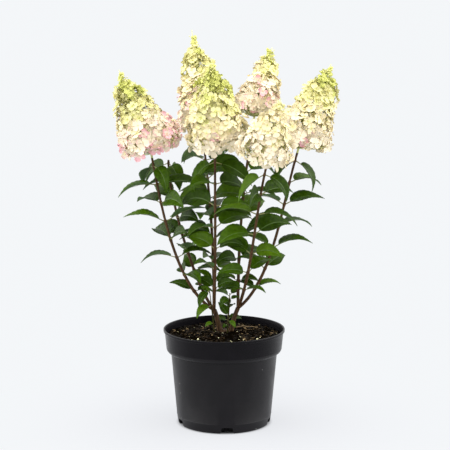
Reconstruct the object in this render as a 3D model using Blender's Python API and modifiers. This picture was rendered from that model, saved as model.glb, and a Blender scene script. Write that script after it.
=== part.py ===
"""Panicle hydrangea in a round nursery pot.

Seven canes fork from two short trunks at soil level.  Six of them carry a cone of
blossom, and the seventh, behind on the left, ends in a leafy tip.  Leaves stand on the
canes in opposite pairs.  Metres, +Z up, origin at the middle of the pot's underside,
and the plant's broad side faces -Y.
"""
import math
import random

import bmesh
import bpy
from mathutils import Matrix, Vector
from mathutils.bvhtree import BVHTree
from mathutils.geometry import interpolate_bezier

GAP = 0.0003            # clearance between solids that touch
POT_STEPS = 40          # facets round the pot
SOIL_STEPS = 20         # every second facet of the pot

# Pot: a moulded nursery pot with a wide collar and drain recesses in its foot
POT_HEIGHT = 0.1835
RIM_RADIUS = 0.1160
BEAD_HEIGHT = 0.0055
BEAD_ROUNDING = 0.0006
COLLAR_TOP_RADIUS = 0.1136
COLLAR_FOOT_RADIUS = 0.1107
COLLAR_HEIGHT = 0.0360
SHOULDER_HEIGHT = 0.0090
SHOULDER_STEPS = 3      # facets of the rounding under the collar
BODY_TOP_RADIUS = 0.1016
BODY_FOOT_RADIUS = 0.0893
FOOT_ROUNDING = 0.0030
FOOT_CHAMFER = 0.3      # share of that rounding where its middle lies
WALL = 0.0021
FLOOR = 0.0030
FOOT_RING = 0.0240      # the foot's wall is thick, to hold the recesses
LEDGE_HEIGHT = 0.0155   # the top of that thick wall, inside the pot
LEDGE_FALL = 0.0020
RECESSES = 5
RECESS_TURN = -86.5     # degrees from +X to the first recess
RECESS_DEPTH = 0.0180
RECESS_HEIGHT = 0.0120
RECESS_TOP_WIDTH = 0.0200
RECESS_FOOT_WIDTH = 0.0266
DRAIN_WIDTH = 0.0110
DRAIN_HEIGHT = 0.0050
DRAIN_LIFT = 0.0012     # of the drain hole above the pot's floor
OVERCUT = 0.0040        # how far a cutter stands out of what it cuts

# Soil: level where the trunks stand, falling away to the pot's wall
GROUND = 0.1780
GROUND_RADIUS = 0.0290
SOIL_EDGE = 0.1690
SOIL_SLOPE = ((GROUND_RADIUS, GROUND), (0.045, 0.1762), (0.068, 0.1728), (0.092, 0.1700))
SOIL_LUMP = 0.0012
SOIL_LUMP_MARGINS = (0.0020, 0.0040)    # level left round the trunk and along the wall
SOIL_SEED = 4

# Trunk: two stems from one crown, each ending in a fork
CROWN_RADIUS = 0.0140
CROWN_HEIGHT = 0.0050
CROWN_SHOULDER = 0.75
CROWN_SIDES = 12
LEFT_FOOT = Vector((-0.0075, 0.0000, GROUND + GAP))
LEFT_FORK = Vector((-0.0193, 0.0000, 0.2187))
RIGHT_FOOT = Vector((0.0128, 0.0020, GROUND + GAP))
RIGHT_FORK = Vector((0.0265, 0.0000, 0.2226))
STEMS = ((LEFT_FOOT, LEFT_FORK, 0.0048, 0.0060),      # foot, fork, radius, radius at ground
         (RIGHT_FOOT, RIGHT_FORK, 0.0042, 0.0054))
STEM_BEND = 0.0040
STEM_SHARES = (0.0, 0.12, 0.3, 0.6, 1.0)
FLARE_POWER = 4         # how fast the flare at the ground dies out
FOOT_SINK = 0.0060      # stems start this far under the soil and are cut off level with it
LIMB_START = 0.0230     # how much of each cane belongs to the trunk

# Canes: radii at the fork and under the blossom
CANE_FOOT_RADIUS = 0.0031
CANE_TIP_RADIUS = 0.0021
CANE_SAMPLES = 60
LIMB_STEP = 0.0080      # between a limb's rings in the trunk
CANE_STEP = 0.0120      # in a bare cane
SHOOT_STEP = 0.0200     # in a leafy stem

# Leaves: opposite pairs, small near the soil, drooping under the blossom
FIRST_NODE = 0.0150     # from the blossom's foot down to the first pair
LEAFY_TIP_NODE = 0.0060 # the same on the cane that has no blossom
BARE_FOOT = 0.0300      # leafless length above the fork
NODE_MARGIN = 0.0120    # from the lowest pair down to the end of its mass
LEAF_SMALL = 0.0500
LEAF_LARGE = 0.0880
TOP_PAIR = (0.88, -20.0, 60.0)      # share of the length, rise and bend
LEAF_GROWTH = (1.9, 0.7)            # how leaves grow longer with their height on the cane
LEAF_RISE, LEAF_RISE_FALL = 32.0, 18.0
LEAF_BEND = 56.0
LENGTH_SPREAD = (0.84, 1.08)
RISE_SPREAD = (-14, 14)             # degrees, as are the next three
BEND_SPREAD = (-18, 20)
ROLL_SPREAD = (-28, 28)
TWIST_SPREAD = (-16, 16)
LEAF_WIDTH = 0.50       # of its length
LEAF_THICKNESS = 0.0013
PETIOLE_SHARE = 0.15
PETIOLE_RADIUS = 0.0011
LEAF_FOLD = 0.30        # how far the two halves rise from the midrib
MIDRIB_STEPS = 12
ROOT_SEAT = 0.5         # a leaf starts this share of the cane's radius from its middle
ROOT_REACH = 0.25       # share of its length in which a leaf may touch its own cane
LEAF_TRIES = 12
LEAF_TURN = 9.0         # degrees that a leaf turns aside in each try
LEAF_LIFT = 4.0         # degrees that it rises
LEAF_SHRINK = 0.025
LEAF_FACING = 34.0      # degrees that a leaf's face turns outwards
CROWN_MIDDLE = Vector((0.0, 0.050, 0.0))    # the line that the leaves face away from

# Basal shoots: name, foot on the soil, azimuth, lean, length, and their leaves with
# the share of the shoot at which each stands, azimuth, rise, bend and length
BASAL_SHOOTS = (
    ("front", (0.0060, -0.0190), -60.0, 8.0, 0.074,
     ((0.96, 222.0, 0.0, 80.0, 0.031), (0.92, 10.0, 30.0, 45.0, 0.019),
      (0.44, 132.0, 52.0, 28.0, 0.038), (0.42, 66.0, 68.0, 26.0, 0.037),
      (0.34, -35.0, -15.0, 55.0, 0.021), (0.20, 235.0, 30.0, 80.0, 0.016))),
    ("left", (-0.0180, -0.0160), 205.0, 7.0, 0.086,
     ((0.97, 222.0, -22.0, 60.0, 0.042), (0.90, 140.0, 45.0, 50.0, 0.026),
      (0.62, 214.0, 0.0, 78.0, 0.043), (0.22, 195.0, 5.0, 60.0, 0.018))),
    ("back", (0.0060, 0.0220), 75.0, 16.0, 0.070,
     ((0.92, 30.0, 40.0, 50.0, 0.032), (0.88, 205.0, 48.0, 60.0, 0.034),
      (0.58, 115.0, 36.0, 50.0, 0.036), (0.54, -60.0, 50.0, 50.0, 0.028),
      (0.26, 20.0, 20.0, 60.0, 0.030), (0.22, 200.0, 30.0, 60.0, 0.030))))
BASAL_RADII = (0.0019, 0.0016, 0.0013, 0.0010)

# Blossom: cones of four-petalled florets round a core, with green buds at the tip
CONE_START = 0.06       # share of the cone's height where the lowest florets stand
CONE_SHEAR = 0.35       # how far its rings turn from square to its axis towards level
CONE_FOOT = 0.75        # its width at the foot, against its girth
CONE_SWELL = 2.0        # how fast it grows wider above that
CONE_FULLNESS = 1.07
CONE_TAPER = 0.67
CONE_AREA = 0.62        # of its skin, against a cylinder's
CONE_CROWDING = 1.72    # how the spiral closes up towards the tip
FLORET_SPACING = 0.0295 # florets stand this far apart on the cone
FLORET_RADIUS = 0.0150
FLORET_DEPTH = 0.0120
FLORET_CUP = 0.18       # how far two of the petals rise, as a share of the radius
FLORET_SEAT = 0.3       # how far a floret sits inside the outline, of its radius
FLORET_TILT = 0.3
FLORET_STRAY = 0.0030   # how far it may stand above or below its place
FLORET_SIZES = (0.88, 1.10)
BLOSSOM_SEED = 50
BUD_RADIUS = 0.0068
BUD_LINE = 0.70         # above this share of the cone its florets are still buds
DROOP_FOOT, DROOP_RISE, DROOP_TIP = -42.0, 70.0, 14.0    # degrees that the florets face up
DROOP_END = 0.35        # share of the height where they no longer hang
CORE_INSET = 0.0100
CORE_SHARES = (0.97, 0.86, 0.70, 0.52, 0.34, 0.18, 0.08)
CORE_SIDES = 10
CORE_TIP_RADIUS = 0.0035
CORE_FOOT = 0.03        # share of the height where it starts
TIP_INSET, INSET_GROWTH = 0.35, 1.6     # how the inset grows from the tip down
STALK_LEAD = 0.0050     # how far the stalk follows the cane before it turns
STALK_TOP = 0.20        # share of the height where it ends, inside the core
GOLDEN_TURN = math.radians(137.508)


class Cane:
    """One cane: its curve from the fork, its leaf pairs and its blossom."""

    def __init__(self, number, fork, top, lean, top_lean, pull, pairs, turn, swing, seed,
                 foot=None, tip=None, girth=0.0):
        self.number = number
        self.fork, self.top = fork, Vector(top)
        self.pairs, self.turn, self.swing, self.seed = pairs, turn, swing, seed
        self.foot = Vector(foot) if foot else None      # middle of the blossom's foot
        self.tip = Vector(tip) if tip else None
        self.girth = girth
        across = self.top - fork
        azimuth = math.degrees(math.atan2(across.y, across.x))
        handle = pull * across.length
        points = interpolate_bezier(
            fork, fork + handle * leaning(azimuth, lean),
            self.top - handle * leaning(azimuth, top_lean), self.top, CANE_SAMPLES)
        self.points = [p.copy() for p in points]
        self.runs = [0.0]
        for a, b in zip(self.points, self.points[1:]):
            self.runs.append(self.runs[-1] + (b - a).length)
        self.length = self.runs[-1]

    def at(self, run):
        """The point that lies this far along the cane from its fork."""
        run = min(max(run, 0.0), self.length)
        for i in range(len(self.runs) - 1):
            if run <= self.runs[i + 1]:
                share = (run - self.runs[i]) / (self.runs[i + 1] - self.runs[i])
                return self.points[i].lerp(self.points[i + 1], share)
        return self.points[-1]

    def radius(self, run):
        return CANE_FOOT_RADIUS + (CANE_TIP_RADIUS - CANE_FOOT_RADIUS) * run / self.length

    def stretch(self, start, end, step):
        """Points and radii along part of the cane."""
        count = max(2, math.ceil((end - start) / step) + 1)
        runs = [start + (end - start) * i / (count - 1) for i in range(count)]
        return [self.at(r) for r in runs], [self.radius(r) for r in runs]

    def nodes(self):
        """How far along the cane each pair stands, from the top down."""
        top = self.length - (FIRST_NODE if self.tip else LEAFY_TIP_NODE)
        spacing = (top - LIMB_START - BARE_FOOT) / (self.pairs - 1)
        return [top - spacing * k for k in range(self.pairs)]


def leaning(azimuth, lean):
    """A direction that leans from the vertical by some degrees, towards an azimuth."""
    a, b = math.radians(azimuth), math.radians(lean)
    return Vector((math.sin(b) * math.cos(a), math.sin(b) * math.sin(a), math.cos(b)))


def canes():
    return [
        Cane(1, LEFT_FORK, (-0.1365, 0.020, 0.5084), 61, 11, 0.28, 8, 144, 34, 602,
             (-0.1304, 0.020, 0.5186), (-0.1968, 0.010, 0.6752), 0.0646),
        Cane(2, LEFT_FORK, (-0.1077, 0.085, 0.4970), 52, -3, 0.22, 8, 197, 61, 978),
        Cane(3, LEFT_FORK, (-0.0168, -0.040, 0.5226), 32, 0, 0.38, 7, 191, 33, 168,
             (-0.0107, -0.040, 0.5306), (-0.0229, -0.083, 0.7010), 0.0626),
        Cane(4, LEFT_FORK, (-0.0415, 0.135, 0.5405), 0, 36, 0.42, 8, 105, 43, 905,
             (-0.0313, 0.135, 0.5466), (-0.0641, 0.180, 0.7440), 0.0590),
        Cane(5, RIGHT_FORK, (0.0565, 0.057, 0.5730), 0, 22, 0.35, 8, 104, 66, 383,
             (0.0531, 0.060, 0.5844), (0.0926, 0.105, 0.7124), 0.0490),
        Cane(6, RIGHT_FORK, (0.0751, -0.135, 0.5085), 43, 30, 0.34, 7, 6, 22, 828,
             (0.0692, -0.135, 0.5203), (0.0993, -0.177, 0.6358), 0.0535),
        Cane(7, RIGHT_FORK, (0.1365, -0.019, 0.5225), 52, 17, 0.27, 7, 20, 9, 633,
             (0.1346, -0.020, 0.5315), (0.1986, -0.010, 0.6870), 0.0612),
    ]


# ------------------------------------------------------------------ shared helpers

def principled(name, colour, roughness):
    """A plain Principled material."""
    material = bpy.data.materials.new(name)
    material.use_nodes = True
    shader = material.node_tree.nodes["Principled BSDF"]
    shader.inputs["Base Color"].default_value = (*colour, 1.0)
    shader.inputs["Roughness"].default_value = roughness
    return material


def new_object(name, mesh, collection, material=None):
    obj = bpy.data.objects.new(name, mesh)
    collection.objects.link(obj)
    if material:
        mesh.materials.clear()
        mesh.materials.append(material)
    return obj


def evaluated_mesh(obj):
    """The object's mesh in world space, with its modifiers applied."""
    bpy.context.view_layer.update()
    depsgraph = bpy.context.evaluated_depsgraph_get()
    mesh = bpy.data.meshes.new_from_object(obj.evaluated_get(depsgraph))
    mesh.transform(obj.matrix_world)
    return mesh


def discard(obj):
    bpy.data.objects.remove(obj, do_unlink=True)


def tube_mesh(points, radii, resolution):
    """A closed tapering tube: a poly curve with a bevel, made a mesh."""
    curve = bpy.data.curves.new("tube", "CURVE")
    curve.dimensions = "3D"
    curve.bevel_depth = 1.0
    curve.bevel_resolution = resolution
    curve.use_fill_caps = True
    spline = curve.splines.new("POLY")
    spline.points.add(len(points) - 1)
    for point, place, radius in zip(spline.points, points, radii):
        point.co = (*place, 1.0)
        point.radius = radius
    obj = bpy.data.objects.new("tube", curve)
    bpy.context.scene.collection.objects.link(obj)
    mesh = evaluated_mesh(obj)
    discard(obj)
    bm = bmesh.new()
    bm.from_mesh(mesh)
    bmesh.ops.remove_doubles(bm, verts=bm.verts, dist=1e-6)
    bmesh.ops.recalc_face_normals(bm, faces=bm.faces)
    bm.to_mesh(mesh)
    bm.free()
    return mesh


def turned_mesh(profile, steps):
    """A profile of (radius, height), turned round Z by a Screw modifier."""
    mesh = bpy.data.meshes.new("turned")
    mesh.from_pydata([(r, 0.0, z) for r, z in profile],
                     [(i, i + 1) for i in range(len(profile) - 1)], [])
    obj = bpy.data.objects.new("turned", mesh)
    bpy.context.scene.collection.objects.link(obj)
    screw = obj.modifiers.new("turn", "SCREW")
    screw.steps = screw.render_steps = steps
    screw.use_merge_vertices = True
    screw.merge_threshold = 1e-5
    result = evaluated_mesh(obj)
    discard(obj)
    return result


def boolean(base, others, operation):
    """Cuts others from the base mesh, or joins them to it, in one Boolean."""
    group = bpy.data.collections.new("operands")
    bpy.context.scene.collection.children.link(group)
    for mesh in others:
        new_object("operand", mesh, group)
    obj = bpy.data.objects.new("base", base)
    bpy.context.scene.collection.objects.link(obj)
    modifier = obj.modifiers.new("boolean", "BOOLEAN")
    modifier.operation = operation
    modifier.operand_type = "COLLECTION"
    modifier.collection = group
    modifier.solver = "EXACT"
    result = evaluated_mesh(obj)
    discard(obj)
    for operand in list(group.objects):
        discard(operand)
    bpy.data.collections.remove(group)
    return tidy(result)


def tidy(mesh):
    """Merges doubled points, drops slivers and loose scraps, and triangulates."""
    bm = bmesh.new()
    bm.from_mesh(mesh)
    bmesh.ops.remove_doubles(bm, verts=bm.verts, dist=2e-6)
    bmesh.ops.dissolve_degenerate(bm, edges=bm.edges, dist=2e-6)
    bmesh.ops.triangulate(bm, faces=bm.faces)
    pieces = separate_pieces(bm)
    largest = max(pieces, key=len)
    scraps = [face for piece in pieces if piece is not largest for face in piece]
    bmesh.ops.delete(bm, geom=scraps, context="FACES")
    bm.to_mesh(mesh)
    bm.free()
    return mesh


def separate_pieces(bm):
    """The mesh's connected groups of faces."""
    unseen, pieces = set(bm.faces), []
    while unseen:
        stack, piece = [unseen.pop()], []
        while stack:
            face = stack.pop()
            piece.append(face)
            for edge in face.edges:
                for other in edge.link_faces:
                    if other in unseen:
                        unseen.discard(other)
                        stack.append(other)
        pieces.append(piece)
    return pieces


# ------------------------------------------------------------------ pot and soil

def rounding(top_radius, foot_radius, height):
    """A quarter turn from an overhanging wall down and in to the wall under it."""
    points = []
    for i in range(SHOULDER_STEPS + 1):
        angle = math.pi / 2 * i / SHOULDER_STEPS
        points.append((foot_radius + (top_radius - foot_radius) * math.cos(angle),
                       height - SHOULDER_HEIGHT * math.sin(angle)))
    return points


def pot_wall():
    """The pot's outer and inner outlines as (radius, height), each from the top down."""
    collar_top = POT_HEIGHT - BEAD_HEIGHT
    collar_foot = POT_HEIGHT - COLLAR_HEIGHT
    outer = [
        (RIM_RADIUS - BEAD_ROUNDING, POT_HEIGHT), (RIM_RADIUS, POT_HEIGHT - BEAD_ROUNDING),
        (RIM_RADIUS, collar_top + BEAD_ROUNDING), (COLLAR_TOP_RADIUS, collar_top),
        *rounding(COLLAR_FOOT_RADIUS, BODY_TOP_RADIUS, collar_foot),
        (BODY_FOOT_RADIUS, 2 * FOOT_ROUNDING),
        (BODY_FOOT_RADIUS - FOOT_CHAMFER * FOOT_ROUNDING, (1.0 - FOOT_CHAMFER) * FOOT_ROUNDING),
        (BODY_FOOT_RADIUS - FOOT_ROUNDING, 0.0),
    ]
    inner = [
        (RIM_RADIUS - BEAD_ROUNDING - WALL, POT_HEIGHT), (COLLAR_TOP_RADIUS - WALL, collar_top),
        (COLLAR_FOOT_RADIUS - WALL, collar_foot + WALL),
        (BODY_TOP_RADIUS - WALL, collar_foot - SHOULDER_HEIGHT + WALL),
        (BODY_FOOT_RADIUS - WALL / 2, LEDGE_HEIGHT),
        (BODY_FOOT_RADIUS - FOOT_RING, LEDGE_HEIGHT - LEDGE_FALL),
        (BODY_FOOT_RADIUS - FOOT_RING, FLOOR),
    ]
    return outer, inner


def block(size, foot_width, place, turn):
    """A box whose foot may be wider than its top, turned round Z at the origin."""
    bm = bmesh.new()
    bmesh.ops.create_cube(bm, size=1.0)
    for vert in bm.verts:
        width = foot_width if vert.co.z < 0 else size[1]
        vert.co = Vector((vert.co.x * size[0], vert.co.y * width, vert.co.z * size[2]))
    bmesh.ops.translate(bm, vec=place, verts=bm.verts)
    bmesh.ops.rotate(bm, cent=(0, 0, 0), matrix=Matrix.Rotation(turn, 3, "Z"), verts=bm.verts)
    mesh = bpy.data.meshes.new("block")
    bm.to_mesh(mesh)
    bm.free()
    return mesh


def make_pot(parts):
    outer, inner = pot_wall()
    profile = [(0.0, FLOOR)] + inner[::-1] + outer + [(0.0, 0.0)]
    pot = turned_mesh(profile, POT_STEPS)
    recess_back = BODY_FOOT_RADIUS - RECESS_DEPTH
    recess_size = (RECESS_DEPTH + OVERCUT, RECESS_TOP_WIDTH, RECESS_HEIGHT + OVERCUT)
    recess_place = (recess_back + recess_size[0] / 2, 0.0, (RECESS_HEIGHT - OVERCUT) / 2)
    drain_size = (FOOT_RING - RECESS_DEPTH + 2 * OVERCUT, DRAIN_WIDTH, DRAIN_HEIGHT)
    drain_place = (recess_back + OVERCUT - drain_size[0] / 2, 0.0,
                   FLOOR + DRAIN_LIFT + DRAIN_HEIGHT / 2)
    recesses, drains = [], []
    for i in range(RECESSES):
        turn = math.radians(RECESS_TURN + 360.0 * i / RECESSES)
        recesses.append(block(recess_size, RECESS_FOOT_WIDTH, recess_place, turn))
        drains.append(block(drain_size, DRAIN_WIDTH, drain_place, turn))
    pot = boolean(boolean(pot, recesses, "DIFFERENCE"), drains, "DIFFERENCE")
    material = principled("pot_plastic", (0.020, 0.021, 0.023), 0.45)
    obj = new_object("pot", pot, parts, material)
    pot.shade_smooth()
    pot.set_sharp_from_angle(angle=math.radians(30))
    return obj


def make_soil(parts):
    inner = pot_wall()[1]
    upper, lower = inner[1], inner[2]
    share = (upper[1] - SOIL_EDGE) / (upper[1] - lower[1])
    edge = upper[0] + share * (lower[0] - upper[0]) - GAP
    side = [(r - GAP, z + GAP) for r, z in inner[2:]]
    profile = [(0.0, GROUND), *SOIL_SLOPE, (edge, SOIL_EDGE), *side, (0.0, FLOOR + GAP)]
    mesh = turned_mesh(profile, SOIL_STEPS)
    rng = random.Random(SOIL_SEED)
    inside, outside = GROUND_RADIUS + SOIL_LUMP_MARGINS[0], edge - SOIL_LUMP_MARGINS[1]
    for vert in mesh.vertices:      # crumbled surface between the trunk and the wall
        if inside < vert.co.xy.length < outside and vert.co.z > SOIL_EDGE:
            vert.co.z += rng.uniform(-1.0, 0.6) * SOIL_LUMP
    return new_object("soil", tidy(mesh), parts, principled("soil", (0.035, 0.026, 0.020), 0.95))


# ------------------------------------------------------------------ trunk and canes

def flared(foot, fork, radius, ground_radius):
    """Points and radii of one stem, from its flare on the ground up to its fork."""
    points, radii = [], []
    for share in STEM_SHARES:
        bend = Vector((0.0, 0.0, STEM_BEND * math.sin(math.pi * share)))
        points.append(foot.lerp(fork, share) + bend)
        radii.append(radius + (ground_radius - radius) * (1.0 - share) ** FLARE_POWER)
    return points, radii


def level_foot(mesh, level):
    """Cuts a mesh flat at a level and closes the cut."""
    bm = bmesh.new()
    bm.from_mesh(mesh)
    geom = list(bm.verts) + list(bm.edges) + list(bm.faces)
    cut = bmesh.ops.bisect_plane(bm, geom=geom, plane_co=(0, 0, level), plane_no=(0, 0, -1),
                                 clear_outer=True)
    edges = [e for e in cut["geom_cut"] if isinstance(e, bmesh.types.BMEdge)]
    bmesh.ops.contextual_create(bm, geom=edges)
    bmesh.ops.recalc_face_normals(bm, faces=bm.faces)
    bm.to_mesh(mesh)
    bm.free()
    return mesh


def make_trunk(parts, all_canes, bark):
    level = GROUND + GAP
    sink = Vector((0.0, 0.0, FOOT_SINK))
    stems = []
    for foot, fork, radius, ground_radius in STEMS:
        points, radii = flared(foot, fork, radius, ground_radius)
        mesh = tube_mesh([foot - sink] + points, [ground_radius] + radii, 2)
        stems.append(level_foot(mesh, level))
    for cane in all_canes:
        stems.append(tube_mesh(*cane.stretch(0.0, LIMB_START - GAP, LIMB_STEP), 1))
    middle = (LEFT_FOOT + RIGHT_FOOT) / 2
    crown = turned_mesh([(0.0, CROWN_HEIGHT), (CROWN_RADIUS / 2, CROWN_HEIGHT),
                         (CROWN_RADIUS * CROWN_SHOULDER, CROWN_HEIGHT / 2),
                         (CROWN_RADIUS, 0.0), (0.0, 0.0)], CROWN_SIDES)
    crown.transform(Matrix.Translation((middle.x, middle.y, level)))
    trunk = boolean(crown, stems, "UNION")
    return new_object("trunk", trunk, parts, bark)


def make_cane(parts, cane, end, bark):
    """The bare lower stretch of a cane, from the trunk's limb to its first leaves."""
    points, radii = cane.stretch(LIMB_START, end, CANE_STEP)
    return new_object(f"cane_{cane.number}", tidy(tube_mesh(points, radii, 1)), parts, bark)


# ------------------------------------------------------------------ leaves

LEAF_STATIONS = (0.0, PETIOLE_SHARE, 0.30, 0.52, 0.78, 1.0)
LEAF_HALF_WIDTHS = (None, None, 0.92, 0.95, 0.50, 0.06)    # of half the leaf's width


def leaf_path(root, azimuth, rise, bend, length, share):
    """A point on the midrib and its elevation: the petiole is straight, the blade arcs."""
    a = Vector((math.cos(azimuth), math.sin(azimuth), 0.0))
    point, elevation = root.copy(), rise
    for i in range(MIDRIB_STEPS):
        middle = share * (i + 0.5) / MIDRIB_STEPS
        blade = max(0.0, middle - PETIOLE_SHARE) / (1.0 - PETIOLE_SHARE)
        elevation = rise - bend * blade
        direction = a * math.cos(elevation) + Vector((0, 0, math.sin(elevation)))
        point = point + direction * (length * share / MIDRIB_STEPS)
    return point, elevation


def leaf_mesh(root, azimuth, rise, bend, length, roll):
    """One leaf with its petiole: a thin four-sided loft with a ridge along its midrib."""
    bm = bmesh.new()
    bmesh.ops.create_cone(bm, cap_ends=True, segments=4, radius1=1.0, radius2=1.0, depth=1.0)
    sides = [e for e in bm.edges if abs(e.verts[0].co.z - e.verts[1].co.z) > 0.5]
    bmesh.ops.subdivide_edges(bm, edges=sides, cuts=len(LEAF_STATIONS) - 2)
    across = Vector((-math.sin(azimuth), math.cos(azimuth), 0.0))
    last = len(LEAF_STATIONS) - 1
    for vert in bm.verts:
        station = round((vert.co.z + 0.5) * last)
        share = LEAF_STATIONS[station]
        centre, elevation = leaf_path(root, azimuth, rise, bend, length, share)
        ahead = (Vector((math.cos(azimuth), math.sin(azimuth), 0.0)) * math.cos(elevation)
                 + Vector((0, 0, math.sin(elevation))))
        side = Matrix.Rotation(roll, 3, ahead) @ across
        up = ahead.cross(side)
        if LEAF_HALF_WIDTHS[station] is None:
            half, thick, fold = PETIOLE_RADIUS, PETIOLE_RADIUS, 0.0
        else:
            half = LEAF_HALF_WIDTHS[station] * LEAF_WIDTH * length / 2
            thick = LEAF_THICKNESS / 2
            fold = LEAF_FOLD * half
        sideways, upright = vert.co.x, vert.co.y
        vert.co = centre + side * (sideways * half) + up * (upright * thick + abs(sideways) * fold)
    bmesh.ops.recalc_face_normals(bm, faces=bm.faces)
    mesh = bpy.data.meshes.new("leaf")
    bm.to_mesh(mesh)
    bm.free()
    return mesh


def tree_of(mesh, clearance=0.0008):
    """A search tree of the mesh's faces, for overlap tests with some clearance."""
    bm = bmesh.new()
    bm.from_mesh(mesh)
    tree = BVHTree.FromBMesh(bm, epsilon=clearance)
    bm.free()
    return tree


def clear_of(mesh, root, reach, pieces, own):
    """True if a leaf touches none of the pieces, nor its own cane away from its root."""
    tree = tree_of(mesh)
    if any(tree.overlap(piece) for piece in pieces):
        return False
    for face, _ in tree.overlap(own):
        if (mesh.polygons[face].center - root).length > reach:
            return False
    return True


def facing_roll(root, azimuth):
    """The roll that turns a leaf's face away from the middle of the crown."""
    outward = Vector(((root - CROWN_MIDDLE).x, (root - CROWN_MIDDLE).y, 0.0)).normalized()
    across = Vector((-math.sin(azimuth), math.cos(azimuth), 0.0))
    return -math.radians(LEAF_FACING) * outward.dot(across)


def leaf_values(seed, pair, side, pairs):
    """Length, rise, bend, roll and twist of one leaf, by its place on the cane."""
    rng = random.Random(10000 * seed + 10 * pair + side)
    height = 1.0 - pair / max(1, pairs - 1)
    growth = min(1.0, LEAF_GROWTH[0] * height) ** LEAF_GROWTH[1]
    length = LEAF_SMALL + (LEAF_LARGE - LEAF_SMALL) * growth
    rise, bend = LEAF_RISE - LEAF_RISE_FALL * height * height, LEAF_BEND
    if pair == 0:
        length *= TOP_PAIR[0]
        rise, bend = TOP_PAIR[1:]
    length *= rng.uniform(*LENGTH_SPREAD)
    rise += rng.uniform(*RISE_SPREAD)
    bend += rng.uniform(*BEND_SPREAD)
    roll, twist = rng.uniform(*ROLL_SPREAD), rng.uniform(*TWIST_SPREAD)
    return length, math.radians(rise), math.radians(bend), math.radians(roll), math.radians(twist)


def grow_leaf(root, azimuth, values, pieces, own):
    """Turns and lifts a leaf until it has room; None if it finds none."""
    length, rise, bend, roll, twist = values
    roll += facing_roll(root, azimuth)
    for attempt in range(LEAF_TRIES):
        step = (attempt + 1) // 2 * (1 if attempt % 2 else -1)
        mesh = leaf_mesh(root, azimuth + twist + math.radians(LEAF_TURN * step),
                         rise + math.radians(LEAF_LIFT * (attempt % 3)), bend,
                         length * (1.0 - LEAF_SHRINK * attempt), roll)
        if clear_of(mesh, root, ROOT_REACH * length, pieces, own):
            return mesh
        bpy.data.meshes.remove(mesh)
    return None


def grow_pairs(cane, indices, pieces, own):
    """The leaves of some of a cane's pairs."""
    leaves = []
    nodes = cane.nodes()
    for pair in indices:
        root = cane.at(nodes[pair])
        swing = cane.swing if pair % 2 else -cane.swing
        for side in (0, 1):
            azimuth = math.radians(cane.turn + swing + 180.0 * side)
            aside = leaning(math.degrees(azimuth), 90.0)
            seat = root + ROOT_SEAT * cane.radius(nodes[pair]) * aside
            mesh = grow_leaf(seat, azimuth, leaf_values(cane.seed, pair, side, cane.pairs),
                             pieces, own)
            if mesh:
                leaves.append(mesh)
                pieces.append(tree_of(mesh))
    return leaves


# ------------------------------------------------------------------ blossom

def cone_share(height):
    """The blossom's radius at a share of its height, as a share of its girth."""
    skirt = min(1.0, CONE_FOOT + CONE_SWELL * height)
    return skirt * CONE_FULLNESS * max(0.0, 1.0 - height) ** CONE_TAPER


def floret_mesh(place, outward, radius, spin):
    """A floret of four petals: a shallow four-sided cone whose foot is its stalk."""
    bm = bmesh.new()
    bmesh.ops.create_cone(bm, cap_ends=True, segments=4, radius1=0.0, radius2=1.0, depth=1.0)
    bmesh.ops.remove_doubles(bm, verts=bm.verts, dist=1e-5)
    frame = outward.to_track_quat("Z", "Y").to_matrix()
    for vert in bm.verts:
        if vert.co.z > 0:
            angle = math.atan2(vert.co.y, vert.co.x)
            cup = FLORET_CUP * radius * math.cos(2.0 * angle)
            local = Vector((radius * math.cos(angle + spin), radius * math.sin(angle + spin), cup))
        else:
            local = Vector((0.0, 0.0, -FLORET_DEPTH))
        vert.co = place + frame @ local
    bmesh.ops.triangulate(bm, faces=bm.faces)
    bmesh.ops.recalc_face_normals(bm, faces=bm.faces)
    mesh = bpy.data.meshes.new("floret")
    bm.to_mesh(mesh)
    bm.free()
    return mesh


def cone_frame(cane):
    """The cone's axis from its foot, and two directions round it that are nearly level."""
    axis = cane.tip - cane.foot
    normal = axis.normalized().lerp(Vector((0.0, 0.0, 1.0)), CONE_SHEAR).normalized()
    turn = normal.to_track_quat("Z", "Y").to_matrix()
    return axis, turn.col[0], turn.col[1]


def make_core(cane):
    """The closed cone inside a blossom, with the stalk that meets the cane's tip."""
    axis, across, along = cone_frame(cane)
    height = axis.length
    rows = [(0.0, height)]
    for share in CORE_SHARES:
        inset = CORE_INSET * min(1.0, TIP_INSET + INSET_GROWTH * (1.0 - share))
        radius = max(CORE_TIP_RADIUS, cane.girth * cone_share(share) - inset)
        rows.append((radius, share * height))
    rows += [(2 * CANE_TIP_RADIUS, CORE_FOOT * height), (0.0, CORE_FOOT * height)]
    core = turned_mesh(rows, CORE_SIDES)
    skewed = Matrix((across, along, axis.normalized())).transposed().to_4x4()
    core.transform(Matrix.Translation(cane.foot) @ skewed)
    ahead = (cane.points[-1] - cane.points[-2]).normalized()
    stalk = [cane.top + ahead * GAP, cane.top + ahead * STALK_LEAD,
             cane.foot + axis * STALK_TOP]
    return core, tube_mesh(stalk, [CANE_TIP_RADIUS] * len(stalk), 1)


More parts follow.
